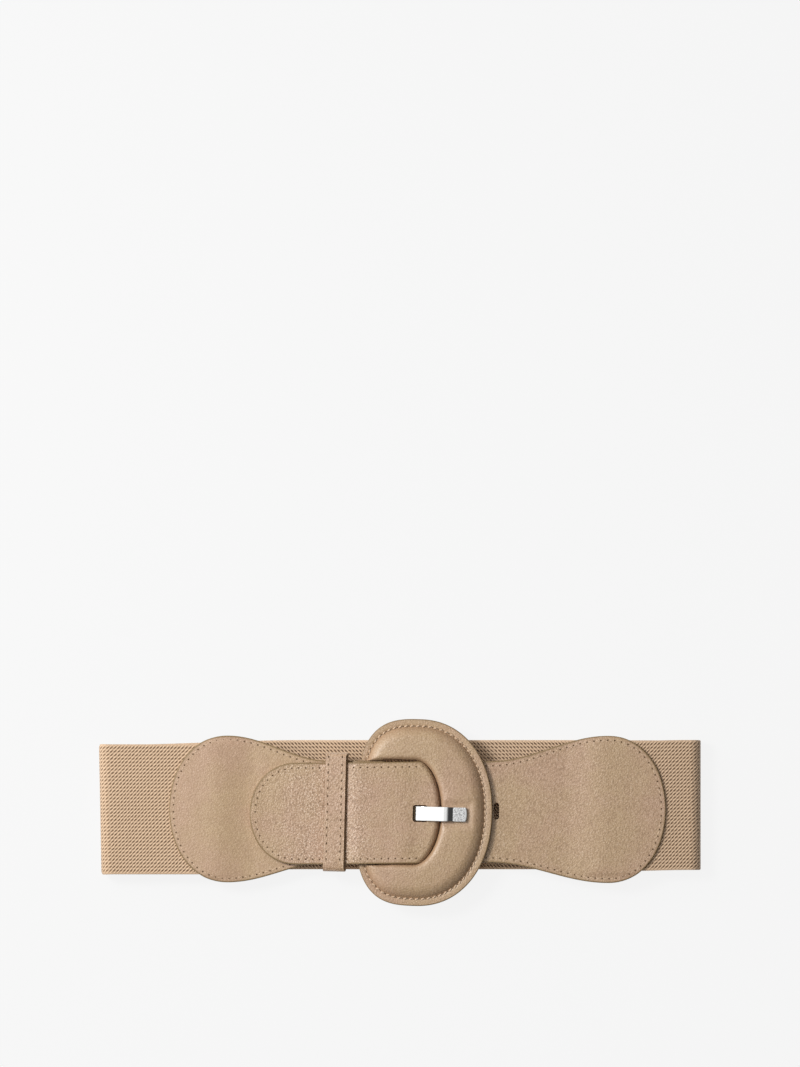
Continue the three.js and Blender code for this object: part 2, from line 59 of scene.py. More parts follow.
view = bpy.data.cameras.new("view_from_above")
view.sensor_width = SENSOR
view.lens = SENSOR * (CAMERA_HEIGHT - VIEWED_LEVEL) / (PHOTO_HEIGHT_PX * PIXEL)
view.shift_y = (BELT_MIDDLE_Y_PX - PHOTO_MIDDLE_Y_PX) / PHOTO_HEIGHT_PX
view.clip_end = 20
camera = bpy.data.objects.new("view_from_above", view)
camera.location = ((PHOTO_MIDDLE_X_PX - BELT_MIDDLE_X_PX) * PIXEL * MM, 0, CAMERA_HEIGHT * MM)
bpy.context.scene.collection.objects.link(camera)
bpy.context.scene.camera = camera
bpy.context.scene.view_settings.view_transform = "Standard"


class Value:
    """One output of a tree's nodes, so that shader maths reads as an expression."""

    def __init__(self, nodes, socket):
        self.nodes, self.socket = nodes, socket

    def __add__(self, other):
        return self.nodes.maths("ADD", self, other)

    def __sub__(self, other):
        return self.nodes.maths("SUBTRACT", self, other)

    def __rsub__(self, other):
        return self.nodes.maths("SUBTRACT", other, self)

    def __mul__(self, other):
        return self.nodes.maths("MULTIPLY", self, other)

    def __truediv__(self, other):
        return self.nodes.maths("DIVIDE", self, other)

    __radd__, __rmul__ = __add__, __mul__


class NodeTree:
    """The nodes of a world or a material. node() adds any node, given its type, inputs and
    settings, and gives one of its outputs."""

    def __init__(self, owner):
        owner.use_nodes = True
        self.tree = owner.node_tree

    def join(self, socket, value):
        if isinstance(value, Value):
            self.tree.links.new(value.socket, socket)
        else:
            socket.default_value = value

    def node(self, kind, inputs, settings=None, output=0):
        node = self.tree.nodes.new(kind)
        for name, value in (settings or {}).items():
            setattr(node, name, value)
        for name, value in inputs.items():
            self.join(node.inputs[name], value)
        return Value(self, node.outputs[output])

    def maths(self, operation, first, second=0.0):
        return self.node("ShaderNodeMath", {0: first, 1: second}, {"operation": operation})

    def between(self, value, low, high):
        """A soft step from 0 at low to 1 at high."""
        return self.node("ShaderNodeMapRange", {"Value": value, "From Min": low, "From Max": high},
                         {"interpolation_type": "SMOOTHSTEP"})


bpy.ops.object.select_all(action="DESELECT")
bpy.ops.mesh.primitive_plane_add(size=FLOOR_SPAN * MM, location=(0, 0, 0))
table_top = bpy.context.object
table_top.name = "table_top"
paint = bpy.data.materials.new("table_white")
paint.use_nodes = True
painted = paint.node_tree.nodes["Principled BSDF"].inputs
painted["Base Color"].default_value = (TABLE_TONE, TABLE_TONE, TABLE_TONE, 1)
painted["Roughness"].default_value = 0.9
painted["Specular IOR Level"].default_value = 0
painted["Emission Color"].default_value = (1, 1, 1, 1)
painted["Emission Strength"].default_value = TABLE_GLOW
table_top.data.materials.append(paint)

sky = bpy.data.worlds.new("studio")
bpy.context.scene.world = sky
dome = NodeTree(sky)
direction = dome.node("ShaderNodeTexCoord", {}, output="Generated")
towards_key = dome.node("ShaderNodeVectorMath", {0: direction, 1: SKY_BRIGHT_SIDE},
                        {"operation": "DOT_PRODUCT"}, "Value")
glow = dome.between(towards_key, *SKY_EDGES) * (SKY_HIGH - SKY_LOW) + SKY_LOW
backdrop = dome.node("ShaderNodeLightPath", {}, output="Is Camera Ray")
glow = glow * (1 - backdrop) + backdrop * BACKDROP_TONE
sky.node_tree.nodes["Background"].inputs["Color"].default_value = (1, 1, 1, 1)
dome.join(sky.node_tree.nodes["Background"].inputs["Strength"], glow)


def soft_light(name, place, span, watts):
    """A square soft box that faces the middle of the belt."""
    lamp = bpy.data.lights.new(name, "AREA")
    lamp.size, lamp.energy = span * MM, watts
    holder = bpy.data.objects.new(name, lamp)
    holder.location = Vector(place) * MM
    holder.rotation_euler = (-holder.location).to_track_quat("-Z", "Y").to_euler()
    bpy.context.scene.collection.objects.link(holder)


soft_light("key_light", (-640, 330, 780), 260, 7.0)


# The elastic band: a strip of ribbed twill webbing, 75 mm wide, folded flat into a loop whose two
# ends are sewn inside the leather tabs. Its floats slant one way on the outside of the loop and,
# seen through to the inside, the other way.
BELT_LENGTH = 348
BAND_WIDTH = 75
BAND_THICKNESS = 1.8
BAND_EDGE_RADIUS = 0.5
SELVEDGE = 1.1
HOLLOW_HEIGHT = 9
LEFT_BAND_END_X, RIGHT_BAND_END_X = -110, 120.2
LEFT_BAND_Y, BACK_BAND_Y, RIGHT_FOLD_Y, RIGHT_BAND_Y = 1.9, 4.6, 4.4, 3.6
FLOAT_PITCH_ALONG = 2.07
FLOAT_PITCH_ACROSS = 2.16
RIB_PITCH = 2.08
FOLD_SLANT, FOLD_CORNER = 1.4, 0.7
FOLD_ZONE_X, FOLD_ZONE_LENGTH = -140, 34
WORN_CORNER_SHARE = 0.05
YARN_COLOUR, YARN_SECOND_COLOUR = (0.76, 0.545, 0.37, 1), (0.70, 0.50, 0.325, 1)
GAP_COLOUR = (0.24, 0.135, 0.07, 1)
# Painted shade: the darker gap colour low on the inside of the loop.
INNER_GAP_SHADE = (0.13, 0.065, 0.032, 1)

front_band_z = 1.5 * BAND_THICKNESS + HOLLOW_HEIGHT
back_band_z = BAND_THICKNESS / 2
fold_radius = (front_band_z - back_band_z) / 2
fold_x = BELT_LENGTH / 2 - fold_radius - BAND_THICKNESS / 2


def ease(share):
    """An easy S-curve from 0 to 1."""
    return (1 - math.cos(math.pi * min(1, max(0, share)))) / 2


def along(rows, x):
    """A value that eases from station to station; each row is (x, value)."""
    value = rows[0][1]
    for (start, before), (end, after) in zip(rows, rows[1:]):
        if x > start:
            value = before + (after - before) * ease((x - start) / (end - start))
    return value


def steps(start, end, count):
    """Even steps from one value to another, both ends included."""
    return [start + (end - start) * i / count for i in range(count + 1)]


def arc(centre_x, centre_z, radius, start_deg, end_deg, count):
    """Points (x, z) of an arc round a centre."""
    angles = [math.radians(degrees) for degrees in steps(start_deg, end_deg, count)]
    return [(centre_x + radius * math.cos(a), centre_z + radius * math.sin(a)) for a in angles]


def laid_grid(name, rows, columns, place):
    """A grid primitive whose points are laid out in millimetres by place(row, share across), where
    the share runs from -1 to 1."""
    bpy.ops.object.select_all(action="DESELECT")
    bpy.ops.mesh.primitive_grid_add(x_subdivisions=rows, y_subdivisions=columns, size=1)
    piece = bpy.context.object
    piece.name = piece.data.name = name
    for point in piece.data.vertices:
        point.co = Vector(place(round((point.co.x + 0.5) * rows), 2 * point.co.y)) * MM
    return piece


def measured_uv(piece, rows, columns, lengths, half_width):
    """Gives the sheet a map in millimetres: distance along it, and across it."""
    layer = piece.data.uv_layers[0].data
    for corner in layer:
        row = round(corner.uv.x * rows)
        corner.uv = (lengths[row], (2 * round(corner.uv.y * columns) / columns - 1) * half_width)


def thickened(piece, thickness, edge_radius, edge_segments=2):
    """Gives a sheet its thickness and round edges, and smooths what isn't an edge."""
    bpy.ops.object.select_all(action="DESELECT")
    piece.select_set(True)
    bpy.context.view_layer.objects.active = piece
    wall = piece.modifiers.new("wall", "SOLIDIFY")
    wall.thickness, wall.offset, wall.material_offset_rim = thickness * MM, 0, 1
    bpy.ops.object.modifier_apply(modifier="wall")
    edge = piece.modifiers.new("edge", "BEVEL")
    edge.width, edge.segments, edge.limit_method = edge_radius * MM, edge_segments, "ANGLE"
    edge.angle_limit, edge.miter_outer = math.radians(50), "MITER_SHARP"
    bpy.ops.object.modifier_apply(modifier="edge")
    bpy.ops.object.shade_smooth_by_angle(angle=math.radians(40))
    return piece


class Finish(NodeTree):
    """A material on the Principled shader, with the patterns that this belt's finishes need."""

    def __init__(self, name, roughness):
        self.material = bpy.data.materials.new(name)
        super().__init__(self.material)
        self.shader = self.tree.nodes["Principled BSDF"]
        self.shader.inputs["Roughness"].default_value = roughness

    def wave(self, turns):
        """A wave between 0 and 1, one crest for each whole number of turns."""
        return self.maths("COSINE", turns * (2 * math.pi)) * 0.5 + 0.5

    def noise(self, place, scale, detail=3.0, roughness=0.5):
        return self.node("ShaderNodeTexNoise", {
            "Vector": place, "Scale": scale, "Detail": detail, "Roughness": roughness})

    def pebbles(self, place, scale):
        """Rounded cells, 0 in the middle of each and about 0.6 between them."""
        return self.node("ShaderNodeTexVoronoi", {"Vector": place, "Scale": scale},
                         {"feature": "SMOOTH_F1"})

    def blend(self, share, first, second):
        """A colour between two colours."""
        return self.node("ShaderNodeMix", {0: share, 6: first, 7: second}, {"data_type": "RGBA"}, 2)

    def coordinates(self, output):
        return self.node("ShaderNodeTexCoord", {}, output=output)

    def parts(self, place):
        """The parts of a place, such as its X, Y and Z."""
        split = self.node("ShaderNodeSeparateXYZ", {"Vector": place}).socket.node
        return [Value(self, output) for output in split.outputs]

    def bump(self, height, strength, distance, below=None):
        inputs = {"Height": height, "Strength": strength, "Distance": distance * MM}
        if below:
            inputs["Normal"] = below
        return self.node("ShaderNodeBump", inputs)

    def shade(self, **sockets):
        for name, value in sockets.items():
            self.join(self.shader.inputs[name.replace("_", " ")], value)
        return self.material


def twill_webbing():
    """Slanted floats in ribs that run along the band. A float is broken where a rib ends, and the
    gaps between floats are dark; low down on the inside of the loop, painted shade makes them darker and in
    higher contrast."""
    finish = Finish("twill_webbing", 0.85)
    place = finish.coordinates("Object")
    run, across = finish.parts(finish.coordinates("UV"))[:2]
    sway = (finish.noise(place, 45, 2.0) - 0.5) * 0.9
    shiver = (finish.noise(place, 420, 2.0) - 0.5) * 0.3
    slant = finish.wave(run / FLOAT_PITCH_ALONG + across / FLOAT_PITCH_ACROSS + sway + shiver)
    rib = finish.wave(across / RIB_PITCH + shiver * 0.8)
    height = 1 - (1 - slant) * (rib * 0.58 + 0.42)
    edge_distance = BAND_WIDTH / 2 - finish.maths("ABSOLUTE", across)
    woven = finish.between(edge_distance, 0.35, SELVEDGE)
    height = height * woven + (1 - woven) * 0.72
    fluff = finish.noise(place, 2300, 4.0, 0.7)
    low = finish.parts(place)[2]
    # Painted shade: low down, on the inside of the loop, the gaps are darker and in higher contrast.
    low_shade = finish.between(low, 0.0065, 0.003)
    floats = finish.between(height * 0.9 + (fluff - 0.5) * 0.5, low_shade * 0.12, 0.95 - low_shade * 0.2)
    gap = finish.blend(low_shade, GAP_COLOUR, INNER_GAP_SHADE)
    tone = finish.noise(place, 26, 3.0)
    yarn = finish.blend(tone, YARN_COLOUR, YARN_SECOND_COLOUR)
    relief = finish.bump(height + fluff * 0.2, 1.0, 0.5)
    finish.shader.inputs["Sheen Weight"].default_value = 0.1
    return finish.shade(Base_Color=finish.blend(floats, gap, yarn), Normal=relief)


webbing = twill_webbing()


def band_path():
    """The band's middle line as rows of (x, z, y)."""
    back = [(-fold_x, LEFT_BAND_Y), (-fold_x / 3, BACK_BAND_Y), (fold_x / 2, BACK_BAND_Y),
            (fold_x, RIGHT_FOLD_Y)]
    right = [(RIGHT_BAND_END_X, RIGHT_BAND_Y), (fold_x, RIGHT_FOLD_Y)]
    middle_z = back_band_z + fold_radius
    left_fold = arc(-fold_x, middle_z, fold_radius, 90, 270, 24)
    right_fold = arc(fold_x, middle_z, fold_radius, -90, 90, 24)
    rows = [(x, front_band_z, LEFT_BAND_Y) for x in steps(LEFT_BAND_END_X, -fold_x, 30)]
    rows += [(x, z, LEFT_BAND_Y) for x, z in left_fold[1:-1]]
    rows += [(x, back_band_z, along(back, x)) for x in steps(-fold_x, fold_x, 120)]
    rows += [(x, z, RIGHT_FOLD_Y) for x, z in right_fold[1:-1]]
    rows += [(x, front_band_z, along(right, x)) for x in steps(fold_x, RIGHT_BAND_END_X, 26)]
    return rows


def run_lengths(rows):
    """Distance along a path of (x, z, ...) rows, at each row."""
    lengths = [0.0]
    for before, after in zip(rows, rows[1:]):
        lengths.append(lengths[-1] + math.dist(before[:2], after[:2]))
    return lengths


BAND_COLUMNS = 60
band_rows = band_path()


def band_place(row, share):
    """The left fold was creased a little askew, and its corners are worn round."""
    x, z, y = band_rows[row]
    corner = max(0.0, abs(share) - 1 + WORN_CORNER_SHARE) / WORN_CORNER_SHARE
    askew = FOLD_SLANT * (1 - share) / 2 + FOLD_CORNER * corner ** 2
    askew *= ease((FOLD_ZONE_X - x) / FOLD_ZONE_LENGTH)
    return (x + askew, y + share * BAND_WIDTH / 2, z)


elastic = laid_grid("elastic_webbing", len(band_rows) - 1, BAND_COLUMNS, band_place)
band_lengths = run_lengths(band_rows)
measured_uv(elastic, len(band_rows) - 1, BAND_COLUMNS, band_lengths, BAND_WIDTH / 2)
elastic.data.materials.append(webbing)
elastic.data.materials.append(webbing)
thickened(elastic, BAND_THICKNESS, BAND_EDGE_RADIUS)
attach(elastic, "root")
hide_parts("elastic_band")


# The left tab: two plies of soft coated leather, sewn round the elastic's end and together at the
# neck. The face ply runs on over the buckle's bar, round it and back beneath, slotted for the prong.
PLY = 1.2
PLY_GAP = 0.3
PLY_DRAWN = PLY + PLY_GAP * 0.7
ROUND_END_FULLNESS = 2.1
NECK_WIDTH = 58.6
CLOSING_LENGTH = 27
EDGE_RADIUS = 0.5
EDGE_STEPS = (0, 0.18, 0.45, 0.85, 1.4)
NARROW_HALF = 5
LEFT_SEAM_INSET = 2.4
LEFT_TAB_END_X = -132.8
LEFT_ROUND_LENGTH = 33.6
LEFT_TAB_WIDTH = 84.6
LEFT_WAIST_LENGTH = 59
LEFT_TAB_Y, LEFT_NECK_Y = 2.1, 0.6
NECK_RISE_LENGTH = 13
RIM_DRAW, RIM_DRAW_REACH = 0.85, 3.5
TURNED_UNDER_LENGTH = 18
BAR_LEFT_X, BAR_WIDTH, BAR_THICKNESS = -22.8, 12.5, 1.6
LEATHER_ROSE, LEATHER_STRAW = (0.515, 0.335, 0.222, 1), (0.50, 0.345, 0.20, 1)
# The second colour on the next line is painted shade for the grain's valleys.
LEATHER_DARK, LEATHER_VALLEY_SHADE = (0.40, 0.25, 0.145, 1), (0.235, 0.14, 0.08, 1)
# Painted highlight: the colour of the pebbles' tops.
LEATHER_PAINTED_HIGHLIGHT = (0.85, 0.68, 0.54, 1)
EDGE_PAINT, EDGE_PAINT_LIGHT = (0.20, 0.12, 0.06, 1), (0.29, 0.185, 0.10, 1)
OUTLINE_PAINT = (0.25, 0.16, 0.07, 1)
TAB_OUTLINE, COVER_OUTLINE = (1.3, 0.35), (0.85, 0.35)

spread_over_band = BAND_THICKNESS / 2 + PLY_GAP + PLY / 2
back_ply_z = front_band_z - spread_over_band
neck_front_z = back_ply_z + PLY + PLY_GAP
neck_mid_z = (back_ply_z + neck_front_z) / 2
plate_bottom_z = neck_front_z + PLY / 2 + PLY_GAP
plate_top_z = plate_bottom_z + BAR_THICKNESS
bar_mid_z = (plate_bottom_z + plate_top_z) / 2
wrap_radius = BAR_THICKNESS / 2 + PLY_GAP + PLY / 2
bar_right_x = BAR_LEFT_X + BAR_WIDTH
left_tab_x = LEFT_TAB_END_X + LEFT_ROUND_LENGTH


def coated_leather(name, grain=0.3, outline=None, creased_and_glinting=False, seam_at=None):
    """Soft coated leather: rosy and straw-coloured clouds and a pebble grain, with painted highlight on
    the pebbles' tops and painted shade in their valleys. A piece with a painted outline keeps the
    distance from its cut edge in its map. The billet is creased where the keeper has bent it, with more
    painted highlight and shade there, and the cover has painted shade along its seam and where it
    rolls into the opening."""
    finish = Finish(name, 0.42)
    place = finish.coordinates("Object")
    cloud = finish.between(finish.noise(place, 26, 4.0, 0.6), 0.35, 0.65)
    mottle = finish.between(finish.noise(place, 140, 4.0, 0.65), 0.3, 0.7)
    hue = finish.blend(cloud, LEATHER_ROSE, LEATHER_STRAW)
    worn = finish.blend(mottle * 0.35, hue, LEATHER_DARK)
    pebble = finish.pebbles(place, 1080.0)
    fine = finish.noise(place, 1900, 3.0, 0.65)
    # How much painted highlight the pebbles' tops carry.
    speckle = grain * 0.5
    if creased_and_glinting:
        x = finish.parts(place)[0]
        patch = finish.between(finish.noise(place, 75, 3.0), 0.3, 0.6) * 0.6 + 0.4
        # By the keeper the grain is deeper, a real crease, and its tops carry more painted highlight and its
        # valleys more painted shade.
        by_keeper = finish.between(x, -0.079, -0.047) * finish.between(x, -0.010, -0.032) * patch
        speckle = by_keeper * 0.5 + speckle
        grain = by_keeper * 0.5 + grain
    tops = finish.between(pebble + (fine - 0.5) * 0.5, 0.36, 0.16)
    valleys = finish.between(pebble + (fine - 0.5) * 0.4, 0.44, 0.66)
    # Painted highlight on the pebbles' tops.
    colour = finish.blend(tops * speckle, worn, LEATHER_PAINTED_HIGHLIGHT)
    # Painted shade in the pebbles' valleys.
    colour = finish.blend(valleys * grain * 0.6, colour, LEATHER_VALLEY_SHADE)
    rough = finish.noise(place, 1500, 2.0) * 0.3 + mottle * 0.1 + 0.2
    from_edge = finish.parts(finish.coordinates("UV"))[1]
    if seam_at:
        # Painted shade along the seam's valley.
        seam_shade = finish.between(from_edge, seam_at - 0.8, seam_at) * finish.between(
            from_edge, seam_at + 4.5, seam_at)
        # Painted shade where the pad rolls into the opening.
        roll_shade = finish.between(finish.parts(finish.coordinates("UV"))[0], 2.8, 0.4)
        colour = finish.blend(seam_shade * 0.7, colour, LEATHER_DARK)
        colour = finish.blend(roll_shade * 0.9, colour, LEATHER_DARK)
    if outline:
        painted = finish.between(from_edge, *outline)
        colour = finish.blend(painted, colour, OUTLINE_PAINT)
        rough = rough * (1 - painted) + painted * 0.75
    height = (fine * 0.5 - pebble) * (grain + 0.15)
    relief = finish.bump(finish.noise(place, 80, 4.0, 0.6), 0.35, 0.6,
                         finish.bump(height, 0.9, 0.4))
    finish.shader.inputs["Coat Weight"].default_value = 0.25
    finish.shader.inputs["Coat Roughness"].default_value = 0.35
    return finish.shade(Base_Color=colour, Roughness=rough, Normal=relief)


def painted_edge():
    """The cut edge of the leather, sealed with a darker edge paint."""
    finish = Finish("painted_edge", 0.5)
    place = finish.coordinates("Object")
    streak = finish.noise(place, 900, 3.0)
    colour = finish.blend(streak, EDGE_PAINT, EDGE_PAINT_LIGHT)
    return finish.shade(Base_Color=colour, Normal=finish.bump(streak, 0.3, 0.15))


leather = coated_leather("coated_leather")
edged_leather = coated_leather("edged_leather", outline=TAB_OUTLINE)
edge_paint = painted_edge()


def full(share, fullness):
    """Half-width of a superellipse at a share of its reach."""
    return max(0.0, 1 - abs(share) ** fullness) ** (1 / fullness)


def tab_half(distance, round_length, width, waist_length):
    """Half-width of a tab at a distance from its widest line; negative is its round end."""
    if distance < 0:
        return width / 2 * full(distance / round_length, ROUND_END_FULLNESS)
    return NECK_WIDTH / 2 + (width - NECK_WIDTH) / 2 * (1 - ease(distance / waist_length))


def round_steps(end, centre, count):
    """Steps over a round end, closest together at its very end."""
    return [centre + (end - centre) * 0.9995 * math.cos(math.pi / 2 * s) for s in steps(0, 1, count)]


def left_half(x):
    return tab_half(x - left_tab_x, LEFT_ROUND_LENGTH, LEFT_TAB_WIDTH, LEFT_WAIST_LENGTH)


def left_middle(x):
    return along([(left_tab_x, LEFT_TAB_Y), (left_tab_x + LEFT_WAIST_LENGTH, LEFT_NECK_Y)], x)


def left_face_z(x):
    """Middle of the left tab's face ply."""
    return along([(LEFT_BAND_END_X, front_band_z + spread_over_band),
                  (LEFT_BAND_END_X + CLOSING_LENGTH, neck_front_z),
                  (BAR_LEFT_X - NECK_RISE_LENGTH, neck_front_z),
                  (BAR_LEFT_X, bar_mid_z + wrap_radius)], x)


def rim_pinch(y, band_y):
    """How far a ply's rim, past the elastic's edge, is drawn towards the other ply by the seam."""
    return RIM_DRAW * ease((abs(y - band_y) - BAND_WIDTH / 2) / RIM_DRAW_REACH)


def left_draw(x, y):
    """How far each ply of the left tab is drawn in, which fades out where the plies meet."""
    if x > LEFT_BAND_END_X + CLOSING_LENGTH:
        return 0
    return (left_face_z(x) - neck_front_z) / 2 * rim_pinch(y, LEFT_BAND_Y)


def leather_ply(name, widths, columns, place, finish, outside):
    """A ply whose rows have the half-widths (distance along, half-width) and whose points are laid
    out by place(row, share across). Its edge is rounded on the outside, up (1) or down (-1), and
    its map keeps each point's distance from the cut edge."""
    depths = []

    def spaced_place(row, share):
        half = widths[row][1]
        column = round((share + 1) / 2 * columns)
        from_side = min(column, columns - column)
        if from_side < len(EDGE_STEPS):
            inset = EDGE_STEPS[from_side] * min(1, half / NARROW_HALF)
        else:
            inner = (from_side - len(EDGE_STEPS) + 1) / (columns / 2 - len(EDGE_STEPS) + 1)
            inset = EDGE_STEPS[-1] * min(1, half / NARROW_HALF)
            inset += (half - inset) * inner
        before, after = widths[max(0, row - 1)], widths[min(len(widths) - 1, row + 1)]
        steepness = math.hypot(1, (after[1] - before[1]) / (after[0] - before[0]))
        depths.append(inset / steepness)
        side = 1 if column > columns / 2 else -1
        return place(row, side * (1 - inset / half))

    piece = laid_grid(name, len(widths) - 1, columns, spaced_place)
    layer = piece.data.uv_layers[0].data
    for corner, loop in zip(layer, piece.data.loops):
        corner.uv = (0, depths[loop.vertex_index])
    piece.data.materials.append(finish)
    piece.data.materials.append(edge_paint)
    bpy.ops.object.select_all(action="DESELECT")
    piece.select_set(True)
    wall = piece.modifiers.new("wall", "SOLIDIFY")
    wall.thickness, wall.offset, wall.material_offset_rim = PLY_DRAWN * MM, 0, 1
    bpy.ops.object.modifier_apply(modifier="wall")
    points = piece.data.vertices
    count = len(depths)
    for i, depth in enumerate(depths):
        shy = max(0.0, EDGE_RADIUS - depth)
        if shy:
            pair = sorted((points[i], points[i + count]), key=lambda p: p.co.z * outside)
            drop = EDGE_RADIUS - math.sqrt(EDGE_RADIUS ** 2 - shy ** 2)
            pair[1].co = pair[1].co.lerp(pair[0].co, drop / PLY_DRAWN)
    bpy.ops.object.shade_smooth_by_angle(angle=math.radians(50))
    return piece


left_stations = round_steps(LEFT_TAB_END_X, left_tab_x, 40) + steps(left_tab_x, bar_right_x, 110)[1:]
left_rows = [(x, left_face_z(x), left_middle(x), left_half(x)) for x in left_stations]
left_rows += [(x, z, LEFT_NECK_Y, NECK_WIDTH / 2)
              for x, z in arc(bar_right_x, bar_mid_z, wrap_radius, 90, -90, 14)[1:]]
turned_end_x = bar_right_x - wrap_radius - TURNED_UNDER_LENGTH - PLY
turned_under = [(turned_end_x + 1, back_ply_z), (BAR_LEFT_X, bar_mid_z - wrap_radius)]
left_rows += [(x, along(turned_under, x), LEFT_NECK_Y, NECK_WIDTH / 2)
              for x in steps(bar_right_x, turned_end_x, 20)[1:]]


def left_face_place(row, share):
    x, z, y, half = left_rows[row]
    lift = left_draw(x, y + share * half) if row < len(left_stations) else 0
    return (x, y + share * half, z - lift)


left_widths = [(length, row[3]) for length, row in zip(run_lengths(left_rows), left_rows)]
left_face = leather_ply("left_tab_face", left_widths, 52, left_face_place, edged_leather, 1)
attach(left_face, "root")
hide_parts("left_tab_front")

back_stations = round_steps(LEFT_TAB_END_X, left_tab_x, 30)
back_stations += steps(left_tab_x, turned_end_x - 2 * PLY_GAP, 50)[1:]


def left_back_place(row, share):
    x = back_stations[row]
    y = left_middle(x) + share * left_half(x)
    return (x, y, back_ply_z + left_draw(x, y))


left_back = leather_ply(
    "left_tab_backing", [(x, left_half(x)) for x in back_stations], 48, left_back_place, edged_leather, -1)
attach(left_back, "root")
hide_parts("left_tab_back")


# The right tab: two plies like the left tab's, which run on as the billet. It comes up along the
# round edge of the buckle's opening, lies over the bar and goes through the keeper to a rounded tip.
# Three slots are punched in it.
RIGHT_TAB_END_X = 153.2
RIGHT_ROUND_LENGTH = 33.1
RIGHT_TAB_WIDTH = 84.8
RIGHT_WAIST_LENGTH = 68
RIGHT_TAB_Y, RIGHT_NECK_Y, BILLET_TIP_Y = 1.8, 0.4, -0.6
BILLET_TIP_X = -86.4
BILLET_TIP_LENGTH = 27
BILLET_TIP_LIFT = 0.5
BILLET_SETTLE_LENGTH = 10
BILLET_RISE_LENGTH = 18
BILLET_SAG, SAG_START_X, SAG_LENGTH = 0.7, -2, 16
DIP_END, DIP_RADIUS, DIP_TURN_DEG = -0.6, 2.0, 74
OPENING_LENGTH, OPENING_ROUND_LENGTH, OPENING_HEIGHT = 34.2, 15.7, 61
PRONG_THICKNESS = 1.6
SLOT_PITCH = 23.6
SLOT_LENGTH, SLOT_WIDTH, SLOT_CORNER = 3.1, 9.7, 1.5
PUNCH_LEVEL, PUNCH_HEIGHT = 12, 30
USED_SLOT_X, USED_SLOT_LENGTH = 7.4, 8.6
FIRST_SLOT_X, SLOT_Y = 7, 0.9
PRONG_Y = -0.5
BUCKLE_X, BUCKLE_TURN_DEG = 10.5, -1.6

opening_right_x = bar_right_x + OPENING_LENGTH
opening_round_x = opening_right_x - OPENING_ROUND_LENGTH
right_tab_x = RIGHT_TAB_END_X - RIGHT_ROUND_LENGTH
tip_centre_x = BILLET_TIP_X + BILLET_TIP_LENGTH
hook_radius = BAR_THICKNESS / 2 + PLY_GAP + PRONG_THICKNESS / 2
billet_half = PLY + PLY_GAP / 2
billet_over_bar_z = bar_mid_z + hook_radius + PRONG_THICKNESS / 2 + PLY_GAP + billet_half
billet_on_neck_z = neck_front_z + PLY / 2 + PLY_GAP + billet_half


def on_buckle(x, y):
    """A point given from the buckle's own centre, on the buckle as it lies, slightly turned."""
    turn = math.radians(BUCKLE_TURN_DEG)
    return (BUCKLE_X + x * math.cos(turn) - y * math.sin(turn), x * math.sin(turn) + y * math.cos(turn))


def inside_round_edge(x, y):
    """How far a point lies inside the round edge of the buckle's opening, along the belt."""
    turn = math.radians(BUCKLE_TURN_DEG)
    from_x = x - BUCKLE_X
    buckle_x = BUCKLE_X + from_x * math.cos(turn) + y * math.sin(turn)
    buckle_y = y * math.cos(turn) - from_x * math.sin(turn)
    return opening_round_x + OPENING_ROUND_LENGTH * full(2 * buckle_y / OPENING_HEIGHT, 2) - buckle_x


def billet_dip(inside, drop):
    """How far the billet has come down, this far inside the round edge: a tight double bend."""
    turn = math.radians(DIP_TURN_DEG)
    level, fall = DIP_RADIUS * math.sin(turn), DIP_RADIUS * (1 - math.cos(turn))
    left = inside - DIP_END
    past = 2 * level + (drop - 2 * fall) / math.tan(turn) - left
    bent = min(left, past)
    if bent < level:
        part = DIP_RADIUS - math.sqrt(DIP_RADIUS ** 2 - max(0.0, bent) ** 2)
    else:
        part = fall + (bent - level) * math.tan(turn)
    return part if past < left else drop - part


def billet_z(x, y):
    """Middle of the right tab's two plies, from the billet's tip to the round end."""
    if x < bar_right_x:
        return along([(BILLET_TIP_X, billet_on_neck_z + BILLET_TIP_LIFT),
                      (BILLET_TIP_X + BILLET_SETTLE_LENGTH, billet_on_neck_z),
                      (BAR_LEFT_X - BILLET_RISE_LENGTH, billet_on_neck_z),
                      (BAR_LEFT_X, billet_over_bar_z)], x)
    if x < opening_right_x + 3:
        high = billet_over_bar_z - BILLET_SAG * ease((x - SAG_START_X) / SAG_LENGTH)
        return high - billet_dip(inside_round_edge(x, y), high - neck_mid_z)
    return along([(RIGHT_BAND_END_X - CLOSING_LENGTH, neck_mid_z), (RIGHT_BAND_END_X, front_band_z)], x)


def right_half(x):
    if x < tip_centre_x:
        return NECK_WIDTH / 2 * full((tip_centre_x - x) / BILLET_TIP_LENGTH, ROUND_END_FULLNESS)
    return tab_half(right_tab_x - x, RIGHT_ROUND_LENGTH, RIGHT_TAB_WIDTH, RIGHT_WAIST_LENGTH)


def right_middle(x):
    return along([(tip_centre_x, BILLET_TIP_Y), (right_tab_x - RIGHT_WAIST_LENGTH, RIGHT_NECK_Y),
                  (right_tab_x, RIGHT_TAB_Y)], x)


def right_face(x, y, above=0.0):
    """A point of the right tab's face ply: its middle, or that far above it. A negative height is
    on the back ply."""
    closed = (PLY + PLY_GAP) / 2
    spread = along([(RIGHT_BAND_END_X - CLOSING_LENGTH, closed), (RIGHT_BAND_END_X, spread_over_band)], x)
    spread -= (spread - closed) * rim_pinch(y, RIGHT_BAND_Y)
    slope = math.atan2(billet_z(x + 0.1, y) - billet_z(x - 0.1, y), 0.2)
    side = -1 if above < 0 else 1
    offset = side * spread + (above if side > 0 else 0)
    return Vector((x - offset * math.sin(slope), y, billet_z(x, y) + offset * math.cos(slope)))


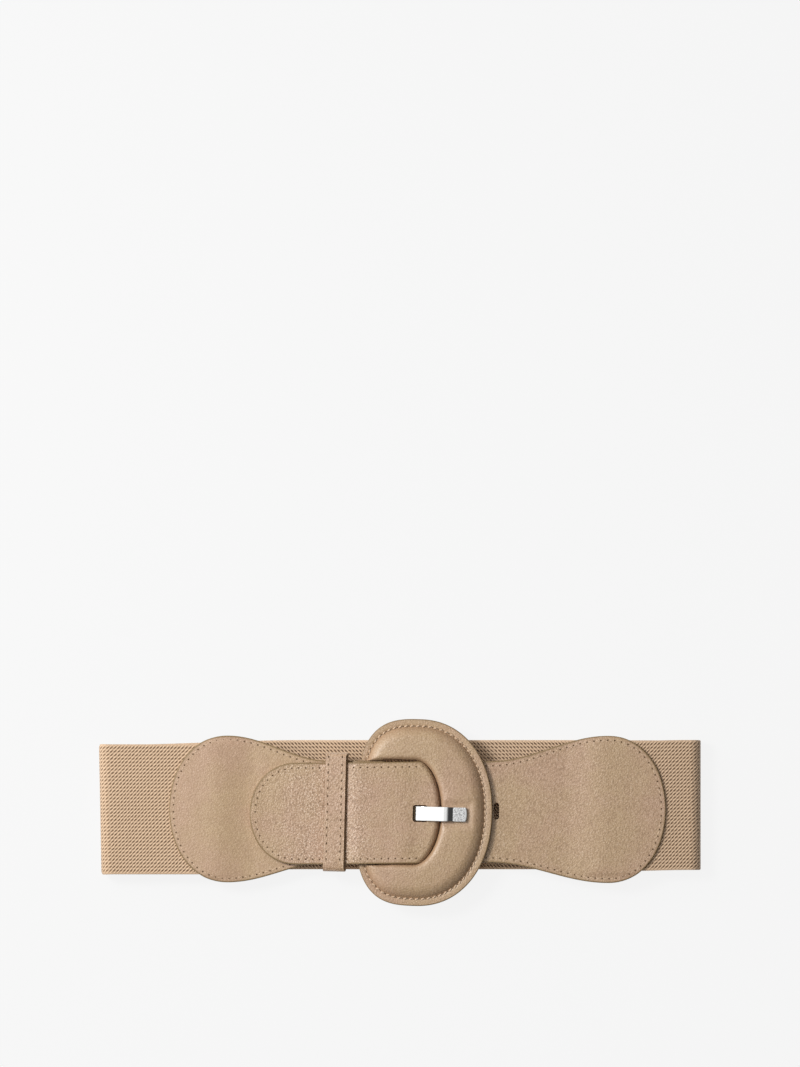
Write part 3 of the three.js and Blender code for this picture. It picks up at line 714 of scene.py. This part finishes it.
def slot_punch(name, centre, length, turn_deg=0.0):
    """A punch as tall as the belt, with the slot's round-cornered section."""
    bpy.ops.object.select_all(action="DESELECT")
    bpy.ops.mesh.primitive_cube_add(size=1, location=(centre[0] * MM, centre[1] * MM, PUNCH_LEVEL * MM))
    punch = bpy.context.object
    punch.name = name
    punch.scale = (length * MM, SLOT_WIDTH * MM, PUNCH_HEIGHT * MM)
    punch.rotation_euler.z = math.radians(turn_deg)
    bpy.ops.object.transform_apply(location=True, rotation=True, scale=True)
    bpy.ops.object.mode_set(mode="EDIT")
    bpy.ops.mesh.select_all(action="DESELECT")
    bpy.ops.object.mode_set(mode="OBJECT")
    for edge in punch.data.edges:
        ends = [punch.data.vertices[i].co for i in edge.vertices]
        edge.select = abs(ends[0].z - ends[1].z) > 0.01
    bpy.ops.object.mode_set(mode="EDIT")
    bpy.ops.mesh.select_mode(type="EDGE")
    bpy.ops.mesh.bevel(offset=SLOT_CORNER * 0.98 * MM, segments=6)
    bpy.ops.object.mode_set(mode="OBJECT")
    return punch


def punched(piece, punch):
    """Cuts a punch out of a piece."""
    bpy.context.view_layer.objects.active = piece
    hole = piece.modifiers.new("hole", "BOOLEAN")
    hole.operation, hole.object, hole.solver = "DIFFERENCE", punch, "EXACT"
    bpy.ops.object.modifier_apply(modifier="hole")


punch_places = [(on_buckle(USED_SLOT_X - BUCKLE_X + USED_SLOT_LENGTH / 2, PRONG_Y), USED_SLOT_LENGTH,
                 BUCKLE_TURN_DEG)]
punch_places += [((FIRST_SLOT_X + i * SLOT_PITCH + SLOT_LENGTH / 2, SLOT_Y), SLOT_LENGTH, 0)
                 for i in (1, 2)]
punches = [slot_punch(f"punch_{i}", *spot) for i, spot in enumerate(punch_places)]

creased_leather = coated_leather("creased_leather", 0.5, TAB_OUTLINE, creased_and_glinting=True)
right_stations = round_steps(BILLET_TIP_X, tip_centre_x, 30)
right_stations += steps(tip_centre_x, bar_right_x, 50)[1:]
right_stations += steps(bar_right_x, FIRST_SLOT_X, 40)[1:]
right_stations += steps(FIRST_SLOT_X, opening_right_x + 3, 110)[1:]
right_stations += steps(opening_right_x + 3, right_tab_x, 90)[1:-1]
right_stations += round_steps(RIGHT_TAB_END_X, right_tab_x, 40)[::-1]


def right_place(side):
    def place(row, share):
        x = right_stations[row]
        return right_face(x, right_middle(x) + share * right_half(x), 0.0 if side > 0 else -1.0)
    return place


for name, node, side in (("right_tab_face", "right_tab_front", 1),
                         ("right_tab_backing", "right_tab_back", -1)):
    ply = leather_ply(name, [(x, right_half(x)) for x in right_stations], 72, right_place(side),
                      creased_leather, side)
    for punch in punches:
        punched(ply, punch)
    bpy.ops.object.shade_smooth_by_angle(angle=math.radians(40))
    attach(ply, "root")
    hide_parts(node)
wrap_reach = hook_radius + PRONG_THICKNESS / 2 + 2 * PLY_GAP
neck_slot = slot_punch("punch_neck", on_buckle(BAR_LEFT_X + BAR_WIDTH / 2 - BUCKLE_X, PRONG_Y),
                       BAR_WIDTH + 2 * wrap_reach, BUCKLE_TURN_DEG)
punched(left_face, neck_slot)
for punch in punches + [neck_slot]:
    bpy.data.objects.remove(punch)


# The tabs' seams: one lockstitch line a little inside each edge. The thread sinks into the soft
# leather, so that its needle holes show more than the thread itself; each hole is a dark disc laid on
# the surface, painted shade.
BILLET_SEAM_INSET, RIGHT_SEAM_INSET = 3.0, 2.5
STITCH_PITCH = 4.0
THREAD_RADIUS = 0.26
HOLE_RADIUS = 0.5
THREAD_COLOUR, THREAD_WAXED = (0.68, 0.505, 0.35, 1), (0.54, 0.38, 0.25, 1)
# Painted shade: the colour of the needle holes' dark discs.
HOLE_SHADE_COLOUR = (0.07, 0.037, 0.018, 1)


def thread_finish():
    """Twisted polyester thread, a little lighter than the leather."""
    finish = Finish("sewing_thread", 0.6)
    place = finish.coordinates("Object")
    strand = finish.noise(place, 1500, 2.0)
    colour = finish.blend(strand, THREAD_COLOUR, THREAD_WAXED)
    return finish.shade(Base_Color=colour, Normal=finish.bump(strand, 0.4, 0.1))


def hole_shade_finish():
    """The dark inside of a needle hole, as painted shade on a flat disc."""
    finish = Finish("needle_hole_shade", 0.9)
    shade = finish.noise(finish.coordinates("Object"), 800, 2.0)
    return finish.shade(Base_Color=finish.blend(shade, HOLE_SHADE_COLOUR, EDGE_PAINT))


thread, needle_hole_shade = thread_finish(), hole_shade_finish()


def model_part(kind, **size):
    """The points and faces of one small primitive, modelled once and removed again."""
    bpy.ops.object.select_all(action="DESELECT")
    getattr(bpy.ops.mesh, kind)(**size)
    part = bpy.context.object
    points = [tuple(v.co) for v in part.data.vertices]
    faces = [tuple(f.vertices) for f in part.data.polygons]
    bpy.data.objects.remove(part)
    return points, faces


STITCH_SHAPE = model_part("primitive_uv_sphere_add", segments=8, ring_count=6, radius=1)
HOLE_SHAPE = model_part("primitive_circle_add", vertices=9, radius=1, fill_type="NGON")


def copies(name, shape, places, material):
    """One mesh of many copies; each place is (origin, x axis, y axis, z axis), scaled, in mm."""
    points, faces = [], []
    for origin, x_axis, y_axis, z_axis in places:
        first = len(points)
        points += [(origin + x_axis * p[0] + y_axis * p[1] + z_axis * p[2]) * MM for p in shape[0]]
        faces += [[first + i for i in face] for face in shape[1]]
    mesh = bpy.data.meshes.new(name)
    mesh.from_pydata(points, [], faces)
    mesh.materials.append(material)
    piece = bpy.data.objects.new(name, mesh)
    bpy.context.scene.collection.objects.link(piece)
    bpy.ops.object.select_all(action="DESELECT")
    piece.select_set(True)
    bpy.context.view_layer.objects.active = piece
    bpy.ops.object.shade_smooth()
    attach(piece, "root")
    return piece


def spaced(line, pitch):
    """Points at an even pitch along a line, and the direction of the line there."""
    total = sum((b - a).length for a, b in zip(line, line[1:]))
    count = max(1, round(total / pitch))
    result, walked, wanted = [], 0.0, 0.0
    for a, b in zip(line, line[1:]):
        length = (b - a).length
        while length and wanted <= walked + length + 1e-9 and len(result) <= count:
            result.append((a.lerp(b, (wanted - walked) / length), (b - a).normalized()))
            wanted += total / count
        walked += length
    return result


def seam(name, line, pitch=STITCH_PITCH, length=0.56, radius=THREAD_RADIUS, slant_deg=0.0,
         sunk=0.5, hole=HOLE_RADIUS, hole_stretch=1.0, up=Vector((0, 0, 1))):
    """Stitches along a line of points on a surface, in mm, with a dark disc of painted shade at each needle
    hole.
    """
    stitches, holes = [], []
    marks = spaced(line, pitch)
    for (start, before), (end, after) in zip(marks, marks[1:]):
        direction = (end - start).normalized()
        side = up.cross(direction).normalized()
        normal = direction.cross(side)
        turn = math.radians(slant_deg)
        slanted = direction * math.cos(turn) + side * math.sin(turn)
        across = side * math.cos(turn) - direction * math.sin(turn)
        middle = (start + end) / 2 - normal * radius * sunk
        stitches.append((middle, slanted * pitch * length / 2, across * radius * 1.25, normal * radius))
        if hole:
            holes.append((start + normal * 0.05, slanted * hole * hole_stretch, across * hole, normal))
    sewn = copies(name, STITCH_SHAPE, stitches, thread)
    if hole:
        copies(name + "_hole_shades", HOLE_SHAPE, holes, needle_hole_shade)


def inset_outline(stations, half, middle, inset):
    """A tab's outline (x, y), moved inwards, from the first station round the far end and back."""
    edge = [Vector((x, middle(x) + half(x), 0)) for x in stations]
    edge += [Vector((x, middle(x) - half(x), 0)) for x in reversed(stations)]
    line = []
    for i, point in enumerate(edge):
        before, after = edge[max(0, i - 1)], edge[min(len(edge) - 1, i + 1)]
        inward = (after - before).normalized().cross(Vector((0, 0, 1)))
        line.append(point + inward * inset(point.x))
    return line


ply_top = PLY_DRAWN / 2
left_outline = inset_outline(
    steps(BAR_LEFT_X - NECK_RISE_LENGTH, left_tab_x, 60) + round_steps(LEFT_TAB_END_X, left_tab_x, 60)[::-1],
    left_half, left_middle, lambda x: -LEFT_SEAM_INSET)
for point in left_outline:
    slope = math.atan2(left_face_z(point.x + 0.1) - left_face_z(point.x - 0.1), 0.2)
    point.z = left_face_z(point.x) - left_draw(point.x, point.y) + ply_top / math.cos(slope)
seam("left_tab_seam", left_outline)
right_outline = inset_outline(
    round_steps(BILLET_TIP_X, tip_centre_x, 60) + steps(tip_centre_x, right_tab_x, 400)[1:-1]
    + round_steps(RIGHT_TAB_END_X, right_tab_x, 60)[::-1],
    right_half, right_middle,
    lambda x: along([(bar_right_x, BILLET_SEAM_INSET), (right_tab_x, RIGHT_SEAM_INSET)], x))
seam("right_tab_seam", [right_face(p.x, p.y, ply_top) for p in right_outline])


# The buckle's plate: a stiff ring behind the cover, faced with the same leather on its back. Its left
# side is the bare bar that the neck is wrapped round.
BUCKLE_HEIGHT = 107.6
BUCKLE_REACH_RIGHT, BUCKLE_REACH_LEFT = 42.8, 33.3
BUCKLE_FULLNESS_RIGHT, BUCKLE_FULLNESS_LEFT = 2.15, 3
BUCKLE_CORNER_REACH = 36
RING_STEPS = 420
COVER_ROLL = 0.6
PLATE_SET_BACK = 1.3
PLATE_CORNER = 0.25


def inside_buckle(x, y):
    if x < -BUCKLE_REACH_LEFT or abs(x) > BUCKLE_REACH_RIGHT:
        return False
    reach = BUCKLE_REACH_RIGHT if x > 0 else BUCKLE_CORNER_REACH
    fullness = BUCKLE_FULLNESS_RIGHT if x > 0 else BUCKLE_FULLNESS_LEFT
    return abs(y) < BUCKLE_HEIGHT / 2 * full(x / reach, fullness)


def inside_cover_opening(x, y):
    return inside_opening(x, y * OPENING_HEIGHT / (OPENING_HEIGHT - 2 * COVER_ROLL))


def inside_opening(x, y):
    if x < bar_right_x - BUCKLE_X or x > opening_right_x - BUCKLE_X:
        return False
    share = max(0.0, (x + BUCKLE_X - opening_round_x) / OPENING_ROUND_LENGTH)
    return abs(y) < OPENING_HEIGHT / 2 * full(share, 2)


def edge_along(angle, inside):
    """The farthest point inside a region, along a direction from the opening's middle."""
    start_x = bar_right_x - BUCKLE_X + OPENING_LENGTH / 2
    near, far = 0.0, BUCKLE_HEIGHT
    for _ in range(40):
        middle = (near + far) / 2
        if inside(start_x + middle * math.cos(angle), middle * math.sin(angle)):
            near = middle
        else:
            far = middle
    return Vector((start_x + near * math.cos(angle), near * math.sin(angle)))


def ring_edges(inside_hole):
    """The ring's outer and inner points, with a stop at each corner of the opening."""
    corner = math.atan2(OPENING_HEIGHT, -OPENING_LENGTH)
    angles = steps(0, 2 * math.pi, RING_STEPS)[1:] + [corner, 2 * math.pi - corner]
    return [(edge_along(a, inside_buckle), edge_along(a, inside_hole)) for a in sorted(angles)]


def ring(name, edges, section):
    """A closed ring; section(width) gives its closed section as rows of (distance inwards, z). Its
    map is in millimetres: distance from its inner edge, and from its outer edge."""
    sections = [section((inner - outer).length) for outer, inner in edges]
    size = len(sections[0])

    def place(row, share):
        outer, inner = edges[row % len(edges)]
        inwards, z = sections[row % len(edges)][round((share + 1) / 2 * size) % size]
        spot = outer + (inner - outer).normalized() * inwards
        return (*on_buckle(spot.x, spot.y), z)

    piece = laid_grid(name, len(edges), size, place)
    for corner in piece.data.uv_layers[0].data:
        row, column = round(corner.uv.x * len(edges)) % len(edges), round(corner.uv.y * size) % size
        inwards = sections[row][column][0]
        corner.uv = ((edges[row][1] - edges[row][0]).length - inwards, inwards)
    bpy.ops.object.mode_set(mode="EDIT")
    bpy.ops.mesh.select_all(action="SELECT")
    bpy.ops.mesh.remove_doubles(threshold=0.0000001)
    bpy.ops.mesh.normals_make_consistent(inside=False)
    bpy.ops.object.mode_set(mode="OBJECT")
    return piece


def plate_section(width):
    """A flat section with its corners taken off. The bar keeps its width; elsewhere the inner edge
    is set back, which leaves room for the billet."""
    low, high, soft = plate_bottom_z, plate_top_z, PLATE_CORNER
    if width < BAR_WIDTH + 0.5:
        width = min(width, BAR_WIDTH)
    else:
        width -= PLATE_SET_BACK * ease((width - BAR_WIDTH - 0.5) / 2)
    return [(0, low + soft), (0, high - soft), (soft, high), (width - soft, high),
            (width, high - soft), (width, low + soft), (width - soft, low), (soft, low)]


plate = ring("buckle_backing_plate", ring_edges(inside_opening), plate_section)
plate.data.materials.append(leather)
bpy.ops.object.shade_smooth_by_angle(angle=math.radians(30))
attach(plate, "root")
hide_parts("buckle_plate")


# The buckle's padded cover: leather drawn over a foam pad, glued round the plate and sewn down
# along the pad's outer edge, which leaves a flat rim. It dents softly under the prong's end.
FLANGE_WIDTH = 4.5
FLANGE_THICKNESS = 1.2
FLANGE_FLAT_START = 1.1
PAD_HEIGHT = 3.8
PAD_CREST = 0.6
PAD_ROLL, PAD_CROWN, PAD_ROLL_SHARE = 7, 17, 0.72
INNER_ROLL_FULLNESS = 6
SEAM_VALLEY, SEAM_VALLEY_REACH = 0.45, 1.2
PRONG_WIDTH = 8.1
PRONG_TIP_X = 38.6
PAD_DENT = 1.1
DENT_SLOPE, DENT_SOFTNESS = 8, 4
NECK_ROLL, NECK_ROLL_FULLNESS = 5.5, 3.5

cover_bottom_z = plate_top_z + PLY_GAP
flange_top_z = cover_bottom_z + FLANGE_THICKNESS
cover_top_z = flange_top_z + PAD_HEIGHT


def pad_rise(from_seam, pad_width):
    """Share of the pad's height: a quick roll up from the seam, a slow crown and a roll inwards."""
    roll = math.sin(math.pi / 2 * min(1, from_seam / PAD_ROLL)) * PAD_ROLL_SHARE
    crown = math.sin(math.pi / 2 * min(1, from_seam / PAD_CROWN)) * (1 - PAD_ROLL_SHARE)
    past_crest = max(0.0, from_seam / pad_width - PAD_CREST) / (1 - PAD_CREST)
    return (roll + crown) * max(0.0, 1 - past_crest ** INNER_ROLL_FULLNESS) ** 0.5


def cover_section(width):
    rows = [(x + FLANGE_THICKNESS / 2, z)
            for x, z in arc(0, cover_bottom_z + FLANGE_THICKNESS / 2, FLANGE_THICKNESS / 2, 270, 90, 8)]
    for inwards in steps(FLANGE_FLAT_START, FLANGE_WIDTH, 9)[:-1]:
        sink = SEAM_VALLEY * math.exp(-((inwards - FLANGE_WIDTH) / SEAM_VALLEY_REACH) ** 2)
        rows.append((inwards, flange_top_z - sink))
    pad_width = width - FLANGE_WIDTH
    for turn in steps(0, math.pi, 34)[:-1]:
        inward = (1 - math.cos(turn)) / 2
        sink = SEAM_VALLEY * math.exp(-(inward * pad_width / SEAM_VALLEY_REACH) ** 2)
        rows.append((FLANGE_WIDTH + pad_width * inward,
                     flange_top_z + PAD_HEIGHT * pad_rise(inward * pad_width, pad_width) - sink))
    return rows + [(width - 0.5, flange_top_z - 0.1),
                   (width - PLATE_SET_BACK * 0.6, cover_bottom_z + 0.25),
                   (width - PLATE_SET_BACK, cover_bottom_z)]


def settle_on_neighbours(piece):
    """Rolls the pad down beside the neck, and dents it under the prong."""
    turn = math.radians(-BUCKLE_TURN_DEG)
    for point in piece.data.vertices:
        x, y, z = point.co / MM
        if z <= flange_top_z:
            continue
        rise = z - flange_top_z
        beside = (abs(y) - OPENING_HEIGHT / 2 + COVER_ROLL) / NECK_ROLL
        if beside < 1:
            share = max(0.0, 1 - (1 - max(0.0, beside)) ** NECK_ROLL_FULLNESS) ** 0.5
            by_neck = 1 - ease((x - bar_right_x - wrap_radius) / NECK_ROLL)
            rise -= max(0.0, rise - PAD_HEIGHT * share) * by_neck
        across = abs((x - BUCKLE_X) * math.sin(turn) + y * math.cos(turn) - PRONG_Y) - PRONG_WIDTH / 2
        beyond = max(across, x - PRONG_TIP_X, 0.0) - PLY_GAP
        floor = PAD_HEIGHT - PAD_DENT + (PAD_DENT + 1) * ease(beyond / DENT_SLOPE)
        both = math.exp(-DENT_SOFTNESS * rise) + math.exp(-DENT_SOFTNESS * floor)
        point.co.z = (flange_top_z - math.log(both) / DENT_SOFTNESS) * MM


buckle_edges = ring_edges(inside_cover_opening)
cover = ring("buckle_padded_cover", buckle_edges, cover_section)
settle_on_neighbours(cover)
cover.data.materials.append(coated_leather("cover_leather", 0.4, COVER_OUTLINE, seam_at=FLANGE_WIDTH))
cover.data.materials.append(edge_paint)
layer = cover.data.uv_layers[0].data
for face in cover.data.polygons:
    inwards = max(layer[i].uv.y for i in face.loop_indices)
    rim = inwards < FLANGE_THICKNESS / 2 + 0.1 and face.center.z < (flange_top_z - 0.2) * MM
    face.material_index = int(rim)
bpy.ops.object.select_all(action="DESELECT")
neck_reach = bar_right_x + wrap_radius + BUCKLE_HEIGHT
bpy.ops.mesh.primitive_cube_add(
    size=1, location=((bar_right_x + wrap_radius - neck_reach / 2) * MM, 0, cover_bottom_z * MM))
neck_space = bpy.context.object
neck_space.scale = (neck_reach * MM, (OPENING_HEIGHT - 2 * COVER_ROLL) * MM, 4 * PAD_HEIGHT * MM)
bpy.ops.object.transform_apply(location=True, rotation=True, scale=True)
bpy.ops.object.select_all(action="DESELECT")
cover.select_set(True)
punched(cover, neck_space)
bpy.data.objects.remove(neck_space)
bpy.ops.object.shade_smooth_by_angle(angle=math.radians(50))
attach(cover, "root")
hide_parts("buckle_cover")

COVER_STITCH_PITCH = 3.4
COVER_SEAM_SHIFT = 0.5
cover_line = []
for outer, inner in buckle_edges + buckle_edges[:1]:
    spot = outer + (inner - outer).normalized() * (FLANGE_WIDTH - COVER_SEAM_SHIFT)
    x, y = on_buckle(spot.x, spot.y)
    cover_line.append(Vector((x, y, flange_top_z - SEAM_VALLEY + 0.1)))
first = next(i for i, p in enumerate(cover_line) if p.x < bar_right_x and abs(p.y) < OPENING_HEIGHT / 2)
last = len(cover_line) - next(
    i for i, p in enumerate(reversed(cover_line)) if p.x < bar_right_x and abs(p.y) < OPENING_HEIGHT / 2)
cover_line = cover_line[last:] + cover_line[:first]
seam("cover_seam", cover_line, COVER_STITCH_PITCH, length=0.7, radius=0.42, slant_deg=24,
     sunk=-0.4, hole=0.4)


# The prong: one strip of plated steel, hooked round the bar, up through the slot, stepped down at
# its end, which is brushed satin and rests on the cover.
PRONG_PAD_LENGTH = 8.3
PRONG_STEP_LENGTH = 3.6
PRONG_STEP_DROP, PRONG_STEP_CURVE = 1.1, 1.9
PRONG_CREST_LENGTH = 2.4
PRONG_HOOK_LENGTH = 9
PRONG_TIP_BOW = 0.7
PRONG_BRIGHT_TIP = 1.0
PRONG_CRANK_X, PRONG_CRANK_DROP = 13.5, 1.4
PRONG_COLUMNS = 14
STEEL = (0.86, 0.86, 0.85, 1)
STEEL_SATIN_DARK = (0.30, 0.30, 0.30, 1)

prong_pad_z = cover_top_z - PAD_DENT + PLY_GAP + PRONG_THICKNESS / 2
prong_crest_z = prong_pad_z + PRONG_STEP_DROP


def plated_steel(name, roughness, speckle):
    """Nickel-plated steel, with the fine speckle of a blasted surface where it is satin."""
    finish = Finish(name, roughness)
    finish.shader.inputs["Metallic"].default_value = 1
    place = finish.coordinates("Object")
    grain = finish.noise(place, 1150, 2.0, 0.7)
    colour = finish.blend(finish.between(grain, 0.42, 0.6) * speckle, STEEL, STEEL_SATIN_DARK)
    scratch = finish.noise(place, 500, 3.0)
    return finish.shade(Base_Color=colour, Roughness=scratch * 0.1 + roughness,
                        Normal=finish.bump(grain, 0.06 + speckle * 0.5, 0.08))


def prong_path():
    """The strip's middle line as rows of (x, z) from the buckle's centre: the hook under the bar,
    the shank up through the slot, the crest, the step down and the end on the pad."""
    left, tip = BAR_LEFT_X - BUCKLE_X, PRONG_TIP_X - BUCKLE_X
    over_bar_z = bar_mid_z + hook_radius
    slot_x = FIRST_SLOT_X - BUCKLE_X + PLY_GAP
    crest_end = tip - PRONG_PAD_LENGTH - PRONG_STEP_LENGTH
    shank = [(slot_x - 1.6, over_bar_z), (slot_x - 0.3, over_bar_z + 0.1),
             (PRONG_CRANK_X - BUCKLE_X, prong_crest_z - PRONG_CRANK_DROP),
             (crest_end - PRONG_CREST_LENGTH - 1.5, prong_crest_z - 0.35),
             (crest_end - PRONG_CREST_LENGTH + 1, prong_crest_z), (crest_end, prong_crest_z)]
    rows = [(x, bar_mid_z - hook_radius) for x in steps(left + PRONG_HOOK_LENGTH, left, 6)]
    rows += arc(left, bar_mid_z, hook_radius, 270, 90, 16)[1:]
    for (x, z), (next_x, next_z) in zip(rows[-1:] + shank, shank):
        rows += [(x + (next_x - x) * s, z + (next_z - z) * s) for s in steps(0, 1, 6)[1:]]
    rows += [(crest_end + PRONG_STEP_LENGTH * s, prong_crest_z - PRONG_STEP_DROP * s ** PRONG_STEP_CURVE)
             for s in steps(0, 1, 12)[1:]]
    return rows + [(x, prong_pad_z) for x in steps(tip - PRONG_PAD_LENGTH, tip, 8)[1:]]


prong_rows = prong_path()


def prong_place(row, share):
    x, z = prong_rows[row]
    bow = PRONG_TIP_BOW * share * share * ease((x + BUCKLE_X - PRONG_TIP_X + 3) / 3)
    return (*on_buckle(x - bow, PRONG_Y + share * PRONG_WIDTH / 2), z)


prong = laid_grid("prong_strip", len(prong_rows) - 1, PRONG_COLUMNS, prong_place)
prong.data.materials.append(plated_steel("polished_steel", 0.1, 0.0))
prong.data.materials.append(plated_steel("satin_steel", 0.38, 0.75))
for face in prong.data.polygons:
    from_tip = PRONG_TIP_X - face.center.x / MM
    face.material_index = int(PRONG_BRIGHT_TIP < from_tip < PRONG_PAD_LENGTH + 0.1)
wall = prong.modifiers.new("wall", "SOLIDIFY")
wall.thickness, wall.offset = PRONG_THICKNESS * MM, 0
bpy.ops.object.modifier_apply(modifier="wall")
edge = prong.modifiers.new("edge", "BEVEL")
edge.width, edge.segments, edge.limit_method = 0.28 * MM, 3, "ANGLE"
edge.angle_limit = math.radians(50)
bpy.ops.object.modifier_apply(modifier="edge")
bpy.ops.object.shade_smooth_by_angle(angle=math.radians(40))
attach(prong, "root")
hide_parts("prong")


# The keeper: a strip of folded leather, sewn down both sides and closed into a loop round the neck
# and the billet, with painted edges.
KEEPER_X, KEEPER_Y = -37, 0.3
KEEPER_WIDTH = 12.9
KEEPER_SPAN = 68.4
KEEPER_WALL = 1.7
KEEPER_CORNER = 3.2
KEEPER_TURN_DEG = -1.4
KEEPER_EDGE_SLANT, KEEPER_EDGE_REACH = 1.1, 1.2
KEEPER_EDGE_RADIUS = 0.45
KEEPER_STITCH_PITCH = 4.5
KEEPER_SEAMS = (-4.7, 3.2)
KEEPER_SEAM_END = 2.5

keeper_low_z = back_ply_z - PLY / 2 - PLY_GAP - KEEPER_WALL / 2


def keeper_top_z(across):
    """Middle of the top wall, which slopes with the billet; across runs from -1 to 1."""
    ends = [billet_z(KEEPER_X + side * KEEPER_WIDTH / 2, 0) + billet_half for side in (-1, 1)]
    share = (across + 7) / 8
    return ends[0] + (ends[1] - ends[0]) * share + PLY_GAP + 0.35 + KEEPER_WALL / 2


def on_keeper(x, y):
    """A point given from the keeper's own centre, on the keeper as it lies, slightly turned."""
    turn = math.radians(KEEPER_TURN_DEG)
    return (KEEPER_X + x * math.cos(turn) - y * math.sin(turn),
            KEEPER_Y + x * math.sin(turn) + y * math.cos(turn))


def keeper_loop(top):
    """The loop's middle line as rows of (y, z), a rectangle with round corners."""
    half, radius = (KEEPER_SPAN - KEEPER_WALL) / 2, KEEPER_CORNER - KEEPER_WALL / 2
    rows = []
    for y, z, degrees in ((half - radius, top - radius, 0), (radius - half, top - radius, 90),
                          (radius - half, keeper_low_z + radius, 180),
                          (half - radius, keeper_low_z + radius, 270)):
        bend = arc(y, z, radius, degrees, degrees + 90, 8)
        if degrees in (90, 270):
            last_y, last_z = rows[-1]
            rows += [(last_y + (bend[0][0] - last_y) * s, last_z) for s in steps(0, 1, 40)[1:-1]]
        rows += bend
    return rows


KEEPER_COLUMNS = 16
keeper_rows = [keeper_loop(keeper_top_z(across)) for across in steps(-1, 1, KEEPER_COLUMNS)]


def keeper_place(row, share):
    y, z = keeper_rows[round((share + 1) / 2 * KEEPER_COLUMNS)][row % len(keeper_rows[0])]
    return (*on_keeper(share * KEEPER_WIDTH / 2, y), z)


keeper = laid_grid("keeper_loop", len(keeper_rows[0]), KEEPER_COLUMNS, keeper_place)
bpy.ops.object.mode_set(mode="EDIT")
bpy.ops.mesh.select_all(action="SELECT")
bpy.ops.mesh.remove_doubles(threshold=0.000001)
bpy.ops.mesh.normals_make_consistent(inside=False)
bpy.ops.object.mode_set(mode="OBJECT")
keeper.data.materials.append(coated_leather("keeper_leather", grain=0.6))
keeper.data.materials.append(edge_paint)
thickened(keeper, KEEPER_WALL, KEEPER_EDGE_RADIUS, 3)
skewed = math.radians(KEEPER_TURN_DEG)
for point in keeper.data.vertices:
    x, y, z = point.co / MM
    from_middle = (x - KEEPER_X) * math.cos(skewed) + (y - KEEPER_Y) * math.sin(skewed)
    above = z - keeper_top_z(from_middle / (KEEPER_WIDTH / 2))
    into_edge = from_middle - KEEPER_WIDTH / 2 + KEEPER_EDGE_REACH
    if into_edge > 0 and above > -KEEPER_WALL:
        slant = KEEPER_EDGE_SLANT * ease(into_edge / KEEPER_EDGE_REACH)
        point.co.x -= slant * (above / KEEPER_WALL + 0.5) * MM
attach(keeper, "root")
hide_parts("keeper")
seam_end = KEEPER_SPAN / 2 - KEEPER_SEAM_END
for i, seam_x in enumerate(KEEPER_SEAMS):
    top = keeper_top_z(seam_x / (KEEPER_WIDTH / 2)) + KEEPER_WALL / 2
    line = [Vector((*on_keeper(seam_x, y), top)) for y in steps(seam_end, -seam_end, 40)]
    seam(f"keeper_seam_{i}", line, KEEPER_STITCH_PITCH, length=0.5, radius=0.3, sunk=0.4,
         hole=0.4, hole_stretch=1.9)
